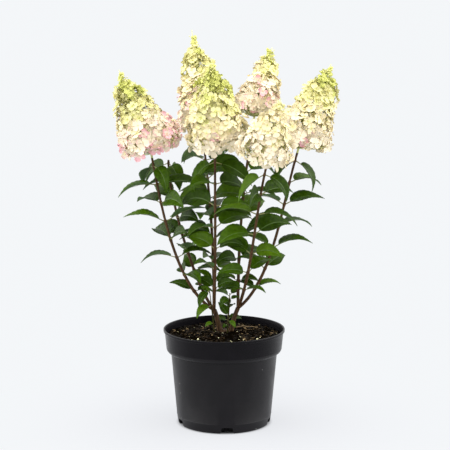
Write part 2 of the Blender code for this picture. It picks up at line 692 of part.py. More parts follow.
def make_blossom(parts, cane, petal):
    """The cone of blossom on a cane's tip: a core, its stalk, and florets in a spiral."""
    axis, across, along = cone_frame(cane)
    height, upright = axis.length, axis.normalized()
    core, stalk = make_core(cane)
    rng = random.Random(BLOSSOM_SEED + cane.number)
    florets = []
    count = round(2.0 * math.pi * cane.girth * height * CONE_AREA / FLORET_SPACING ** 2)
    for k in range(count):
        spread = (k + 0.5) / count
        share = CONE_START + (1.0 - CONE_START) * (1.0 - (1.0 - spread) ** (1.0 / CONE_CROWDING))
        angle = GOLDEN_TURN * k
        radial = across * math.cos(angle) + along * math.sin(angle)
        slope = math.radians(DROOP_FOOT + DROOP_RISE * min(1.0, share / DROOP_END)
                             + DROOP_TIP * share)
        outward = radial * math.cos(slope) + upright * math.sin(slope)
        stray = Vector([rng.uniform(-1, 1) for _ in range(3)])
        outward = (outward + FLORET_TILT * stray).normalized()
        radius = FLORET_RADIUS if share < BUD_LINE else BUD_RADIUS
        reach = cane.girth * cone_share(share) - FLORET_SEAT * radius
        stray = upright * rng.uniform(-FLORET_STRAY, FLORET_STRAY)
        place = cane.foot + axis * share + stray + radial * reach
        florets.append(floret_mesh(place, outward, radius * rng.uniform(*FLORET_SIZES),
                                   rng.uniform(0.0, math.pi / 2)))
    mesh = boolean(core, [stalk] + florets, "UNION")
    return new_object(f"blossom_{cane.number}", mesh, parts, petal)


# ------------------------------------------------------------------ shoots

def make_shoot(parts, name, stem, leaves, leaf_green):
    """One mass of foliage: a stem with its leaves fused to it."""
    return new_object(name, boolean(stem, leaves, "UNION"), parts, leaf_green)


def make_cane_shoots(parts, cane, pieces, own, leaf_green):
    """The leafy stretch of a cane, as an upper and a lower mass, and its bare foot."""
    nodes = cane.nodes()
    middle = cane.pairs // 2
    cut = (nodes[middle - 1] + nodes[middle]) / 2
    foot = nodes[-1] - NODE_MARGIN
    top = cane.length - GAP if cane.tip else cane.length
    for name, start, end, indices in (("upper", cut + GAP, top, range(middle)),
                                      ("lower", foot + GAP, cut, range(middle, cane.pairs))):
        leaves = grow_pairs(cane, indices, pieces, own)
        stem = tube_mesh(*cane.stretch(start, end, SHOOT_STEP), 1)
        make_shoot(parts, f"shoot_{cane.number}_{name}", stem, leaves, leaf_green)
    return foot


def make_basal_shoots(parts, pieces, leaf_green):
    """Short leafy shoots that stand on the soil round the trunk's foot."""
    for name, foot, azimuth, lean, length, rows in BASAL_SHOOTS:
        start = Vector((*foot, GROUND + GAP))
        heading = leaning(azimuth, lean)
        points = [start + heading * (length * i / 3) for i in range(4)]
        sunk = [start - FOOT_SINK * heading] + points[1:]
        stem = level_foot(tube_mesh(sunk, BASAL_RADII, 1), GROUND + GAP)
        own = tree_of(stem)
        leaves = []
        for share, turn, rise, bend, size in rows:
            seat = start + heading * (length * share)
            seat += ROOT_SEAT * BASAL_RADII[-1] * leaning(turn, 90.0)
            values = (size, math.radians(rise), math.radians(bend), 0.0, 0.0)
            mesh = grow_leaf(seat, math.radians(turn), values, pieces, own)
            if mesh:
                leaves.append(mesh)
                pieces.append(tree_of(mesh))
        make_shoot(parts, f"basal_{name}", stem, leaves, leaf_green)
        pieces.append(own)


def main():
    for obj in list(bpy.data.objects):
        bpy.data.objects.remove(obj, do_unlink=True)
    parts = bpy.data.collections.new("potted_hydrangea")
    bpy.context.scene.collection.children.link(parts)
    bark = principled("bark", (0.115, 0.062, 0.042), 0.7)
    leaf_green = principled("leaf", (0.060, 0.155, 0.035), 0.5)
    petal = principled("petal", (0.80, 0.78, 0.55), 0.6)

    make_pot(parts)
    make_soil(parts)
    all_canes = canes()
    trunk = make_trunk(parts, all_canes, bark)

    limbs = {}
    for cane in all_canes:
        points, radii = cane.stretch(LIMB_START, cane.length, CANE_STEP)
        limbs[cane.number] = tree_of(tube_mesh(points, radii, 2))
    pieces = [tree_of(trunk.data)]
    for cane in all_canes:
        if cane.tip:
            pieces.append(tree_of(make_blossom(parts, cane, petal).data))
    for cane in all_canes:
        others = [tree for number, tree in limbs.items() if number != cane.number]
        near = pieces + others
        before = len(near)
        foot = make_cane_shoots(parts, cane, near, limbs[cane.number], leaf_green)
        pieces += near[before:]
        make_cane(parts, cane, foot, bark)
    make_basal_shoots(parts, pieces + list(limbs.values()), leaf_green)


main()
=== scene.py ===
"""Looks of the potted panicle hydrangea.

The pot, the soil and the bark are made again with their relief.  Each mass of foliage
and each blossom is grown again, finer, by the rule that shaped its solid.  Metres,
+Z up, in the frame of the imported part.
"""
import math
import random
from collections import namedtuple

import bmesh
import bpy
from mathutils import Matrix, Vector, noise
from mathutils.bvhtree import BVHTree
from mathutils.geometry import interpolate_bezier


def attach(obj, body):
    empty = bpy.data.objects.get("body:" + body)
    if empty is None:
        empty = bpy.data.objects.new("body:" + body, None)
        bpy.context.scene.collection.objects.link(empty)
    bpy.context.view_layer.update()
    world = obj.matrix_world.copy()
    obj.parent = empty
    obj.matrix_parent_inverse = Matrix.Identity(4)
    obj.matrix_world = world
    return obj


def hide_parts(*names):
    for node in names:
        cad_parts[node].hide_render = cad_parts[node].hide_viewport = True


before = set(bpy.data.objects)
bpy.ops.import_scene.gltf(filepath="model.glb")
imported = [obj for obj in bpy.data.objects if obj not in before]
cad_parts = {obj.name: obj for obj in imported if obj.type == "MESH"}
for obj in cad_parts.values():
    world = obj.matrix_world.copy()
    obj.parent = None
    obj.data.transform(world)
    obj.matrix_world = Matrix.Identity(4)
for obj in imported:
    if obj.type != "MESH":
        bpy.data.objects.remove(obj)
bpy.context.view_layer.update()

# ------------------------------------------------------------------ sizes of the plant

GAP = 0.0003            # clearance between solids that touch

# Pot: a moulded nursery pot with a wide collar and drain recesses in its foot
POT_HEIGHT = 0.1835
RIM_RADIUS = 0.1160
BEAD_HEIGHT = 0.0055
BEAD_ROUNDING = 0.0006
COLLAR_TOP_RADIUS = 0.1136
COLLAR_FOOT_RADIUS = 0.1107
COLLAR_HEIGHT = 0.0360
SHOULDER_HEIGHT = 0.0090
BODY_TOP_RADIUS = 0.1016
BODY_FOOT_RADIUS = 0.0893
FOOT_ROUNDING = 0.0030
FOOT_CHAMFER = 0.3      # share of that rounding where its middle lies
WALL = 0.0021
FLOOR = 0.0030
FOOT_RING = 0.0240      # the foot's wall is thick, to hold the recesses
LEDGE_HEIGHT = 0.0155   # the top of that thick wall, inside the pot
LEDGE_FALL = 0.0020
RECESSES = 5
RECESS_TURN = -86.5     # degrees from +X to the first recess
RECESS_DEPTH = 0.0180
RECESS_HEIGHT = 0.0120
RECESS_TOP_WIDTH = 0.0200
RECESS_FOOT_WIDTH = 0.0266
DRAIN_WIDTH = 0.0110
DRAIN_HEIGHT = 0.0050
DRAIN_LIFT = 0.0012     # of the drain hole above the pot's floor
OVERCUT = 0.0040        # how far a cutter stands out of what it cuts

# Soil: level where the trunks stand, falling away to the pot's wall
GROUND = 0.1780
GROUND_RADIUS = 0.0290
SOIL_EDGE = 0.1690
SOIL_SLOPE = ((GROUND_RADIUS, GROUND), (0.045, 0.1762), (0.068, 0.1728), (0.092, 0.1700))

# Trunk: two stems from one crown, each ending in a fork
CROWN_RADIUS = 0.0140
CROWN_HEIGHT = 0.0050
LEFT_FOOT = Vector((-0.0075, 0.0000, GROUND + GAP))
LEFT_FORK = Vector((-0.0193, 0.0000, 0.2187))
RIGHT_FOOT = Vector((0.0128, 0.0020, GROUND + GAP))
RIGHT_FORK = Vector((0.0265, 0.0000, 0.2226))
STEMS = ((LEFT_FOOT, LEFT_FORK, 0.0048, 0.0060),      # foot, fork, radius, radius at ground
         (RIGHT_FOOT, RIGHT_FORK, 0.0042, 0.0054))
STEM_BEND = 0.0040
LIMB_START = 0.0230     # how much of each cane belongs to the trunk

# Canes: radii at the fork and under the blossom
CANE_FOOT_RADIUS = 0.0031
CANE_TIP_RADIUS = 0.0021
CANE_SAMPLES = 60
CANE_STEP = 0.0120      # in a bare cane

# Leaves: opposite pairs, small near the soil, drooping under the blossom
FIRST_NODE = 0.0150     # from the blossom's foot down to the first pair
LEAFY_TIP_NODE = 0.0060 # the same on the cane that has no blossom
BARE_FOOT = 0.0300      # leafless length above the fork
LEAF_SMALL = 0.0500
LEAF_LARGE = 0.0880
TOP_PAIR = (0.88, -20.0, 60.0)      # share of the length, rise and bend
LEAF_GROWTH = (1.9, 0.7)            # how leaves grow longer with their height on the cane
LEAF_RISE, LEAF_RISE_FALL = 32.0, 18.0
LEAF_BEND = 56.0
LENGTH_SPREAD = (0.84, 1.08)
RISE_SPREAD = (-14, 14)             # degrees, as are the next three
BEND_SPREAD = (-18, 20)
ROLL_SPREAD = (-28, 28)
TWIST_SPREAD = (-16, 16)
LEAF_WIDTH = 0.50       # of its length
LEAF_THICKNESS = 0.0013
PETIOLE_SHARE = 0.15
PETIOLE_RADIUS = 0.0011
LEAF_FOLD = 0.30        # how far the two halves rise from the midrib
ROOT_SEAT = 0.5         # a leaf starts this share of the cane's radius from its middle
ROOT_REACH = 0.25       # share of its length in which a leaf may touch its own cane
LEAF_TRIES = 12
LEAF_TURN = 9.0         # degrees that a leaf turns aside in each try
LEAF_LIFT = 4.0         # degrees that it rises
LEAF_SHRINK = 0.025
LEAF_FACING = 34.0      # degrees that a leaf's face turns outwards
CROWN_MIDDLE = Vector((0.0, 0.050, 0.0))    # the line that the leaves face away from

# Basal shoots: name, foot on the soil, azimuth, lean, length, and their leaves with
# the share of the shoot at which each stands, azimuth, rise, bend and length
BASAL_SHOOTS = (
    ("front", (0.0060, -0.0190), -60.0, 8.0, 0.074,
     ((0.96, 222.0, 0.0, 80.0, 0.031), (0.92, 10.0, 30.0, 45.0, 0.019),
      (0.44, 132.0, 52.0, 28.0, 0.038), (0.42, 66.0, 68.0, 26.0, 0.037),
      (0.34, -35.0, -15.0, 55.0, 0.021), (0.20, 235.0, 30.0, 80.0, 0.016))),
    ("left", (-0.0180, -0.0160), 205.0, 7.0, 0.086,
     ((0.97, 222.0, -22.0, 60.0, 0.042), (0.90, 140.0, 45.0, 50.0, 0.026),
      (0.62, 214.0, 0.0, 78.0, 0.043), (0.22, 195.0, 5.0, 60.0, 0.018))),
    ("back", (0.0060, 0.0220), 75.0, 16.0, 0.070,
     ((0.92, 30.0, 40.0, 50.0, 0.032), (0.88, 205.0, 48.0, 60.0, 0.034),
      (0.58, 115.0, 36.0, 50.0, 0.036), (0.54, -60.0, 50.0, 50.0, 0.028),
      (0.26, 20.0, 20.0, 60.0, 0.030), (0.22, 200.0, 30.0, 60.0, 0.030))))
BASAL_RADII = (0.0019, 0.0016, 0.0013, 0.0010)

# Blossom: cones of four-petalled florets round a core, with green buds at the tip
CONE_START = 0.06       # share of the cone's height where the lowest florets stand
CONE_SHEAR = 0.35       # how far its rings turn from square to its axis towards level
CONE_FOOT = 0.75        # its width at the foot, against its girth
CONE_SWELL = 2.0        # how fast it grows wider above that
CONE_FULLNESS = 1.07
CONE_TAPER = 0.67
CONE_CROWDING = 1.72    # how the spiral closes up towards the tip
BUD_LINE = 0.70         # above this share of the cone its florets are still buds
DROOP_FOOT, DROOP_RISE, DROOP_TIP = -42.0, 70.0, 14.0    # degrees that the florets face up
DROOP_END = 0.35        # share of the height where they no longer hang
GOLDEN_TURN = math.radians(137.508)
FULL_TURN = 6.3         # radians, for a random turn


class Cane:
    """One cane: its curve from the fork, its leaf pairs and its blossom."""

    def __init__(self, number, fork, top, lean, top_lean, pull, pairs, turn, swing, seed,
                 foot=None, tip=None, girth=0.0):
        self.number = number
        self.fork, self.top = fork, Vector(top)
        self.pairs, self.turn, self.swing, self.seed = pairs, turn, swing, seed
        self.foot = Vector(foot) if foot else None      # middle of the blossom's foot
        self.tip = Vector(tip) if tip else None
        self.girth = girth
        across = self.top - fork
        azimuth = math.degrees(math.atan2(across.y, across.x))
        handle = pull * across.length
        points = interpolate_bezier(
            fork, fork + handle * leaning(azimuth, lean),
            self.top - handle * leaning(azimuth, top_lean), self.top, CANE_SAMPLES)
        self.points = [p.copy() for p in points]
        self.runs = [0.0]
        for a, b in zip(self.points, self.points[1:]):
            self.runs.append(self.runs[-1] + (b - a).length)
        self.length = self.runs[-1]

    def at(self, run):
        """The point that lies this far along the cane from its fork."""
        run = min(max(run, 0.0), self.length)
        for i in range(len(self.runs) - 1):
            if run <= self.runs[i + 1]:
                share = (run - self.runs[i]) / (self.runs[i + 1] - self.runs[i])
                return self.points[i].lerp(self.points[i + 1], share)
        return self.points[-1]

    def radius(self, run):
        return CANE_FOOT_RADIUS + (CANE_TIP_RADIUS - CANE_FOOT_RADIUS) * run / self.length

    def stretch(self, start, end, step):
        """Points and radii along part of the cane."""
        count = max(2, math.ceil((end - start) / step) + 1)
        runs = [start + (end - start) * i / (count - 1) for i in range(count)]
        return [self.at(r) for r in runs], [self.radius(r) for r in runs]

    def nodes(self):
        """How far along the cane each pair stands, from the top down."""
        top = self.length - (FIRST_NODE if self.tip else LEAFY_TIP_NODE)
        spacing = (top - LIMB_START - BARE_FOOT) / (self.pairs - 1)
        return [top - spacing * k for k in range(self.pairs)]


def leaning(azimuth, lean):
    """A direction that leans from the vertical by some degrees, towards an azimuth."""
    a, b = math.radians(azimuth), math.radians(lean)
    return Vector((math.sin(b) * math.cos(a), math.sin(b) * math.sin(a), math.cos(b)))


CANES = [
    Cane(1, LEFT_FORK, (-0.1365, 0.020, 0.5084), 61, 11, 0.28, 8, 144, 34, 602,
         (-0.1304, 0.020, 0.5186), (-0.1968, 0.010, 0.6752), 0.0646),
    Cane(2, LEFT_FORK, (-0.1077, 0.085, 0.4970), 52, -3, 0.22, 8, 197, 61, 978),
    Cane(3, LEFT_FORK, (-0.0168, -0.040, 0.5226), 32, 0, 0.38, 7, 191, 33, 168,
         (-0.0107, -0.040, 0.5306), (-0.0229, -0.083, 0.7010), 0.0626),
    Cane(4, LEFT_FORK, (-0.0415, 0.135, 0.5405), 0, 36, 0.42, 8, 105, 43, 905,
         (-0.0313, 0.135, 0.5466), (-0.0641, 0.180, 0.7440), 0.0590),
    Cane(5, RIGHT_FORK, (0.0565, 0.057, 0.5730), 0, 22, 0.35, 8, 104, 66, 383,
         (0.0531, 0.060, 0.5844), (0.0926, 0.105, 0.7124), 0.0490),
    Cane(6, RIGHT_FORK, (0.0751, -0.135, 0.5085), 43, 30, 0.34, 7, 6, 22, 828,
         (0.0692, -0.135, 0.5203), (0.0993, -0.177, 0.6358), 0.0535),
    Cane(7, RIGHT_FORK, (0.1365, -0.019, 0.5225), 52, 17, 0.27, 7, 20, 9, 633,
         (0.1346, -0.020, 0.5315), (0.1986, -0.010, 0.6870), 0.0612),
]


# ------------------------------------------------------------------ mesh helpers

LIMB_TREE_SIDES = 12
_patterns = {}


def mesh_from(name, bm):
    """Ends a mesh in the making."""
    mesh = bpy.data.meshes.new(name)
    bm.to_mesh(mesh)
    bm.free()
    return mesh


def placed(name, data):
    """A new object in the scene."""
    made = bpy.data.objects.new(name, data)
    bpy.context.scene.collection.objects.link(made)
    return made


def pattern(key, make):
    """A small mesh that is made once and then added many times."""
    if key not in _patterns:
        bm = bmesh.new()
        make(bm)
        _patterns[key] = mesh_from("pattern", bm)
    return _patterns[key]


def add(bm, mesh, slot=0):
    """Adds a pattern to a mesh in the making and gives its new points and faces."""
    points, faces = len(bm.verts), len(bm.faces)
    bm.from_mesh(mesh)
    bm.verts.ensure_lookup_table()
    bm.faces.ensure_lookup_table()
    new_points, new_faces = bm.verts[points:], bm.faces[faces:]
    for face in new_faces:
        face.material_index = slot
    return new_points, new_faces


def tube_pattern(sides, rings):
    """A straight closed tube of unit radius, from 0 to 1 along Z."""
    def make(bm):
        bmesh.ops.create_cone(bm, cap_ends=True, segments=sides, radius1=1.0, radius2=1.0,
                              depth=1.0)
        long_edges = [e for e in bm.edges if abs(e.verts[0].co.z - e.verts[1].co.z) > 0.5]
        if rings > 2:
            bmesh.ops.subdivide_edges(bm, edges=long_edges, cuts=rings - 2)
        bmesh.ops.translate(bm, vec=(0.0, 0.0, 0.5), verts=bm.verts)
    return pattern(("tube", sides, rings), make)


def sheet_pattern(columns, rows):
    """A flat grid: x runs from 0 to 1 along it, and y from -1 to 1 across."""
    def make(bm):
        bmesh.ops.create_grid(bm, x_segments=rows, y_segments=columns, size=0.5)
        bmesh.ops.scale(bm, vec=(1.0, 2.0, 1.0), verts=bm.verts)
        bmesh.ops.translate(bm, vec=(0.5, 0.0, 0.0), verts=bm.verts)
    return pattern(("sheet", columns, rows), make)


def bead(bm):
    bmesh.ops.create_icosphere(bm, subdivisions=1, radius=1.0)


def carried_frames(path):
    """A centre and two directions across the path for each of its points, with no twist."""
    last = len(path) - 1
    heads = [(path[min(i + 1, last)] - path[max(i - 1, 0)]).normalized()
             for i in range(len(path))]
    across = heads[0].orthogonal().normalized()
    frames = []
    for i, head in enumerate(heads):
        if i:
            across = heads[i - 1].rotation_difference(head) @ across
        across = (across - head * across.dot(head)).normalized()
        frames.append((path[i], across, head.cross(across)))
    return frames


def sweep(bm, path, radius_at, sides, slot=0):
    """A closed tube along a path. radius_at takes the point's number and the angle."""
    points, _ = add(bm, tube_pattern(sides, len(path)), slot)
    frames = carried_frames(path)
    for point in points:
        number = round(point.co.z * (len(path) - 1))
        centre, across, up = frames[number]
        angle = math.atan2(point.co.y, point.co.x)
        radius = radius_at(number, angle)
        point.co = centre + (across * math.cos(angle) + up * math.sin(angle)) * radius


def turned(bm, profile, steps):
    """A profile of (radius, height) spun round Z."""
    points = [bm.verts.new((r, 0.0, z)) for r, z in profile]
    edges = [bm.edges.new(pair) for pair in zip(points, points[1:])]
    bmesh.ops.spin(bm, geom=points + edges, cent=(0, 0, 0), axis=(0, 0, 1),
                   angle=2.0 * math.pi, steps=steps, use_merge=True)
    bmesh.ops.remove_doubles(bm, verts=bm.verts, dist=1e-6)
    bmesh.ops.recalc_face_normals(bm, faces=bm.faces)


def stray(rng):
    """A random step of up to 1 each way."""
    return Vector([rng.uniform(-1, 1) for _ in range(3)])


def lump(bm, rng, centre, size, slot, rough=0.25):
    """A bead with its points moved about and its sides stretched to a size."""
    points, _ = add(bm, pattern("bead", bead), slot)
    turn = Matrix.Rotation(rng.uniform(0, FULL_TURN), 3, "Z")
    for axis in "XY":
        turn = turn @ Matrix.Rotation(rng.uniform(-0.5, 0.5), 3, axis)
    for point in points:
        stretched = Vector([a * b for a, b in zip(point.co, size)])
        point.co = centre + turn @ (stretched * (1.0 + rng.uniform(-rough, rough)))


def finished(name, bm, materials, slot, *nodes):
    """Ends a mesh and makes it a piece that rides on the plant and stands for its nodes."""
    for face in bm.faces:
        face.smooth = True
    mesh = mesh_from(name, bm)
    for material in materials:
        mesh.materials.append(MATERIALS[material])
    piece = placed(name, mesh)
    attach(piece, "root")
    if nodes:
        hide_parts(*nodes)
    return piece


def tree_of(bm, clearance=0.0008):
    """A search tree of the faces, for overlap tests with some clearance."""
    return BVHTree.FromBMesh(bm, epsilon=clearance)


def node_tree_of(name):
    """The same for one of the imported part's nodes."""
    bm = bmesh.new()
    bm.from_mesh(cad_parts[name].data)
    return tree_of(bm)


def limb_tree(path, radii):
    """The same for a plain tube along a path."""
    bm = bmesh.new()
    sweep(bm, path, lambda i, a: radii[i], LIMB_TREE_SIDES)
    return tree_of(bm)


# ------------------------------------------------------------------ shader groups

def wired(tree, kind, inputs=(), **settings):
    """A new shader node. Each of its inputs takes a socket, a colour or a number."""
    made = tree.nodes.new(kind)
    for key, value in settings.items():
        setattr(made, key, value)
    for label, value in dict(inputs).items():
        if isinstance(value, bpy.types.NodeSocket):
            tree.links.new(value, made.inputs[label])
        elif isinstance(value, tuple):
            made.inputs[label].default_value = (*value, 1.0)
        else:
            made.inputs[label].default_value = value
    return made


def reckoned(tree, operation, a, b, kind="ShaderNodeMath"):
    """The result of an operation on two sockets or numbers."""
    return wired(tree, kind, {0: a, 1: b}, operation=operation).outputs[0]


def ranged(tree, value, **limits):
    """A value that is stretched between limits such as From_Min and To_Max."""
    inputs = {label.replace("_", " "): limit for label, limit in limits.items()}
    return wired(tree, "ShaderNodeMapRange", {"Value": value, **inputs}).outputs[0]


def new_group(name, **values):
    """A shader group with float inputs and a mask, and those inputs inside it."""
    group = bpy.data.node_groups.new(name, "ShaderNodeTree")
    for label, value in values.items():
        socket = group.interface.new_socket(label, in_out="INPUT",
                                            socket_type="NodeSocketFloat")
        socket.default_value = value
    group.interface.new_socket("Mask", in_out="OUTPUT", socket_type="NodeSocketFloat")
    return group, group.nodes.new("NodeGroupInput").outputs


def mottle_group():
    """Soft irregular patches, which Stretch draws out along Z."""
    group, given = new_group("mottle", Size=0.01, Stretch=1.0, Low=0.35, High=0.65)
    place = wired(group, "ShaderNodeTexCoord").outputs["Object"]
    level = reckoned(group, "DIVIDE", 1.0, given["Size"])
    upright = reckoned(group, "DIVIDE", level, given["Stretch"])
    scales = wired(group, "ShaderNodeCombineXYZ", {"X": level, "Y": level, "Z": upright})
    scaled = reckoned(group, "MULTIPLY", place, scales.outputs[0], "ShaderNodeVectorMath")
    clouds = wired(group, "ShaderNodeTexNoise", {"Vector": scaled, "Scale": 1.0, "Detail": 3.0})
    mask = ranged(group, clouds.outputs["Fac"], From_Min=given["Low"], From_Max=given["High"])
    wired(group, "NodeGroupOutput", {"Mask": mask})
    return group


def speck_group():
    """Sparse round specks: one cell in some holds a small dot."""
    group, given = new_group("specks", Spacing=0.01, Radius=0.05, Share=0.3)
    place = wired(group, "ShaderNodeTexCoord").outputs["Object"]
    scale = reckoned(group, "DIVIDE", 1.0, given["Spacing"])
    cells = wired(group, "ShaderNodeTexVoronoi", {"Vector": place, "Scale": scale})
    tone = wired(group, "ShaderNodeSeparateColor", {"Color": cells.outputs["Color"]})
    near = reckoned(group, "LESS_THAN", cells.outputs["Distance"], given["Radius"])
    chosen = reckoned(group, "LESS_THAN", tone.outputs["Red"], given["Share"])
    wired(group, "NodeGroupOutput", {"Mask": reckoned(group, "MULTIPLY", near, chosen)})
    return group


MOTTLE = mottle_group()
SPECKS = speck_group()


# ------------------------------------------------------------------ materials

class Finish:
    """A Principled material with its own nodes, built up call by call."""

    def __init__(self, name, specular, rough=0.5):
        self.material = bpy.data.materials.new(name)
        self.material.use_nodes = True
        self.tree = self.material.node_tree
        self.shader = self.tree.nodes["Principled BSDF"]
        self.shader.inputs["Specular IOR Level"].default_value = specular
        self.shader.inputs["Roughness"].default_value = rough

    def effect(self, group, **values):
        """The mask of a shader group with its own values."""
        return wired(self.tree, "ShaderNodeGroup", values, node_tree=group).outputs[0]

    def blend(self, mask, low, high):
        """A colour between two colours or sockets, by a mask."""
        return wired(self.tree, "ShaderNodeMix", {"Factor": mask, 6: low, 7: high},
                     data_type="RGBA").outputs[2]

    def feed(self, socket, output):
        self.tree.links.new(output, self.shader.inputs[socket])

    def surface(self, colour, patches, rough, height, distance):
        """A colour, a roughness that varies with the patches, and a fine relief."""
        self.feed("Base Color", colour)
        self.feed("Roughness", ranged(self.tree, patches, To_Min=rough[0], To_Max=rough[1]))
        bump = wired(self.tree, "ShaderNodeBump",
                     {"Height": height, "Distance": distance, "Strength": 1.0})
        self.feed("Normal", bump.outputs["Normal"])
        return self.material


def mottled(name, low, high, size, rough, relief, specular=0.5):
    """A matt natural surface in two close tones, with a fine relief of the same patches."""
    finish = Finish(name, specular)
    patches = finish.effect(MOTTLE, Size=size)
    grain = finish.effect(MOTTLE, Size=size / 4.0, Low=0.2, High=0.8)
    return finish.surface(finish.blend(patches, low, high), patches,
                          (rough - 0.06, rough + 0.06), grain, relief)


def petal_finish(name, colour, shade):
    """A petal's colour, a little deeper in soft patches."""
    deep = tuple(c * s for c, s in zip(colour, shade))
    return mottled(name, deep, colour, 0.0060, 0.58, 0.00012, 0.25)


def pot_plastic(name, rough, specular, dusty):
    """Black plastic with a few specks of dust."""
    finish = Finish(name, specular)
    scuff = finish.effect(MOTTLE, Size=0.030, Low=0.4, High=0.7)
    grain = finish.effect(MOTTLE, Size=0.0012, Low=0.2, High=0.8)
    dust = finish.effect(SPECKS, Spacing=0.012, Radius=0.062, Share=dusty)
    base = finish.blend(scuff, (0.0015, 0.0011, 0.0020), (0.0028, 0.0021, 0.0034))
    return finish.surface(finish.blend(dust, base, (0.36, 0.36, 0.34)), scuff,
                          (rough - 0.04, rough + 0.04), grain, 0.00008)


def soil_crumbs(name):
    """Moist compost: dark crumbs in patches that are browner here and there."""
    finish = Finish(name, 0.0)
    patches = finish.effect(MOTTLE, Size=0.010, Low=0.35, High=0.75)
    crumbs = finish.effect(MOTTLE, Size=0.0028, Low=0.3, High=0.7)
    base = finish.blend(patches, (0.0012, 0.0008, 0.0004), (0.009, 0.006, 0.0025))
    return finish.surface(finish.blend(crumbs, (0.002, 0.0015, 0.001), base), crumbs,
                          (0.85, 1.0), crumbs, 0.0012)


def cane_bark(name, low, high, streak):
    """Bark with streaks along the stem and small pale pores."""
    finish = Finish(name, 0.15)
    streaks = finish.effect(MOTTLE, Size=streak, Stretch=9.0)
    pores = finish.effect(SPECKS, Spacing=0.0042, Radius=0.16, Share=0.30)
    pore = tuple(2.2 * c for c in high)
    return finish.surface(finish.blend(pores, finish.blend(streaks, low, high), pore),
                          streaks, (0.52, 0.72), streaks, 0.0004)


# How each material is made, and its values: those of mottled are the darker and the
# lighter tone, the patches' size, the roughness, the relief and the specular level.
RECIPES = (
    (pot_plastic, "pot_plastic", 0.38, 0.222, 0.16),
    (pot_plastic, "pot_collar", 0.30, 0.128, 0.32),
    # the inside: the same plastic with much less sheen, a darker copy as painted shade
    (pot_plastic, "pot_inside", 0.60, 0.045, 0.05),
    (soil_crumbs, "soil_crumbs"),
    (mottled, "chip_brown", (0.006, 0.0035, 0.0015), (0.026, 0.015, 0.006),
     0.003, 0.9, 0.0004, 0.08),
    (mottled, "chip_dark", (0.002, 0.0014, 0.0007), (0.007, 0.0045, 0.002),
     0.003, 0.9, 0.0004, 0.08),
    (mottled, "chip_tan", (0.13, 0.085, 0.040), (0.26, 0.18, 0.09), 0.003, 0.9, 0.0004, 0.1),
    (mottled, "perlite_grain", (0.55, 0.52, 0.26), (0.80, 0.78, 0.50), 0.002, 0.8, 0.0003),
    (mottled, "fibre_dark", (0.018, 0.011, 0.005), (0.045, 0.028, 0.013), 0.003, 0.9, 0.0002),
    (mottled, "fibre_dry", (0.12, 0.075, 0.032), (0.22, 0.15, 0.07), 0.003, 0.9, 0.0002),
    (cane_bark, "cane_bark", (0.034, 0.015, 0.006), (0.092, 0.048, 0.019), 0.0016),
    (cane_bark, "old_bark", (0.022, 0.011, 0.004), (0.072, 0.038, 0.015), 0.0022),
    (mottled, "young_stem", (0.020, 0.018, 0.004), (0.038, 0.036, 0.008),
     0.003, 0.7, 0.0002, 0.05),
    (mottled, "leaf_deep", (0.015, 0.036, 0.0005), (0.026, 0.058, 0.0010),
     0.007, 0.36, 0.00018, 0.07),
    (mottled, "leaf_mid", (0.024, 0.055, 0.0009), (0.039, 0.085, 0.0018),
     0.007, 0.36, 0.00018, 0.07),
    (mottled, "leaf_fresh", (0.039, 0.083, 0.0017), (0.060, 0.120, 0.0030),
     0.007, 0.36, 0.00018, 0.07),
    (mottled, "leaf_rib", (0.036, 0.082, 0.004), (0.054, 0.112, 0.008), 0.006, 0.5, 0.0001),
    (mottled, "leaf_underside", (0.070, 0.130, 0.038), (0.095, 0.165, 0.052),
     0.007, 0.70, 0.0002, 0.2),
    (mottled, "rib_underside", (0.13, 0.20, 0.07), (0.17, 0.25, 0.09), 0.006, 0.6, 0.0001),
    (mottled, "leaf_stalk", (0.14, 0.15, 0.045), (0.24, 0.23, 0.08), 0.005, 0.55, 0.0001),
    (mottled, "stalk_green", (0.54, 0.57, 0.21), (0.66, 0.68, 0.29), 0.004, 0.6, 0.0001),
    (mottled, "bud_olive", (0.64, 0.61, 0.25), (0.78, 0.74, 0.36), 0.003, 0.6, 0.0002),
    (mottled, "floret_eye", (0.56, 0.52, 0.24), (0.70, 0.65, 0.34), 0.003, 0.6, 0.0002),
    (petal_finish, "petal_lime", (0.62, 0.63, 0.20), (0.92, 0.93, 0.80)),
    (petal_finish, "petal_chartreuse", (0.765, 0.725, 0.372), (0.96, 0.96, 0.86)),
    (petal_finish, "petal_cream", (0.815, 0.725, 0.480), (0.97, 0.96, 0.90)),
    (petal_finish, "petal_ivory", (0.820, 0.732, 0.562), (0.98, 0.97, 0.93)),
    (petal_finish, "petal_blush", (0.86, 0.65, 0.58), (0.98, 0.95, 0.94)),
    (petal_finish, "petal_pink", (0.85, 0.49, 0.52), (0.98, 0.93, 0.94)),
)
MATERIALS = {name: make(name, *values) for make, name, *values in RECIPES}


# ------------------------------------------------------------------ pot

POT_STEPS = 160
SHOULDER_STEPS = 10
CORNER_RADIUS, CORNER_STEPS = 0.0010, 3
CREASE = math.radians(35)           # corners sharper than this stay crisp
LINE_HEIGHT = 0.0180    # of the moulded line round the foot
LINE_WIDTH = 0.0006
LINE_RELIEF = 0.0003
LINE_GAP = 10.0         # degrees each side of a recess in which the line stops
INSIDE_TOP = POT_HEIGHT - 0.0015    # below this the inside takes a duller, darker copy of the plastic, as painted shade
BODY_SLOT, COLLAR_SLOT, SHADED_INSIDE_SLOT = range(3)


def rounding(top_radius, foot_radius, height):
    """A quarter turn from an overhanging wall down and in to the wall under it."""
    points = []
    for i in range(SHOULDER_STEPS + 1):
        angle = math.pi / 2 * i / SHOULDER_STEPS
        points.append((foot_radius + (top_radius - foot_radius) * math.cos(angle),
                       height - SHOULDER_HEIGHT * math.sin(angle)))
    return points


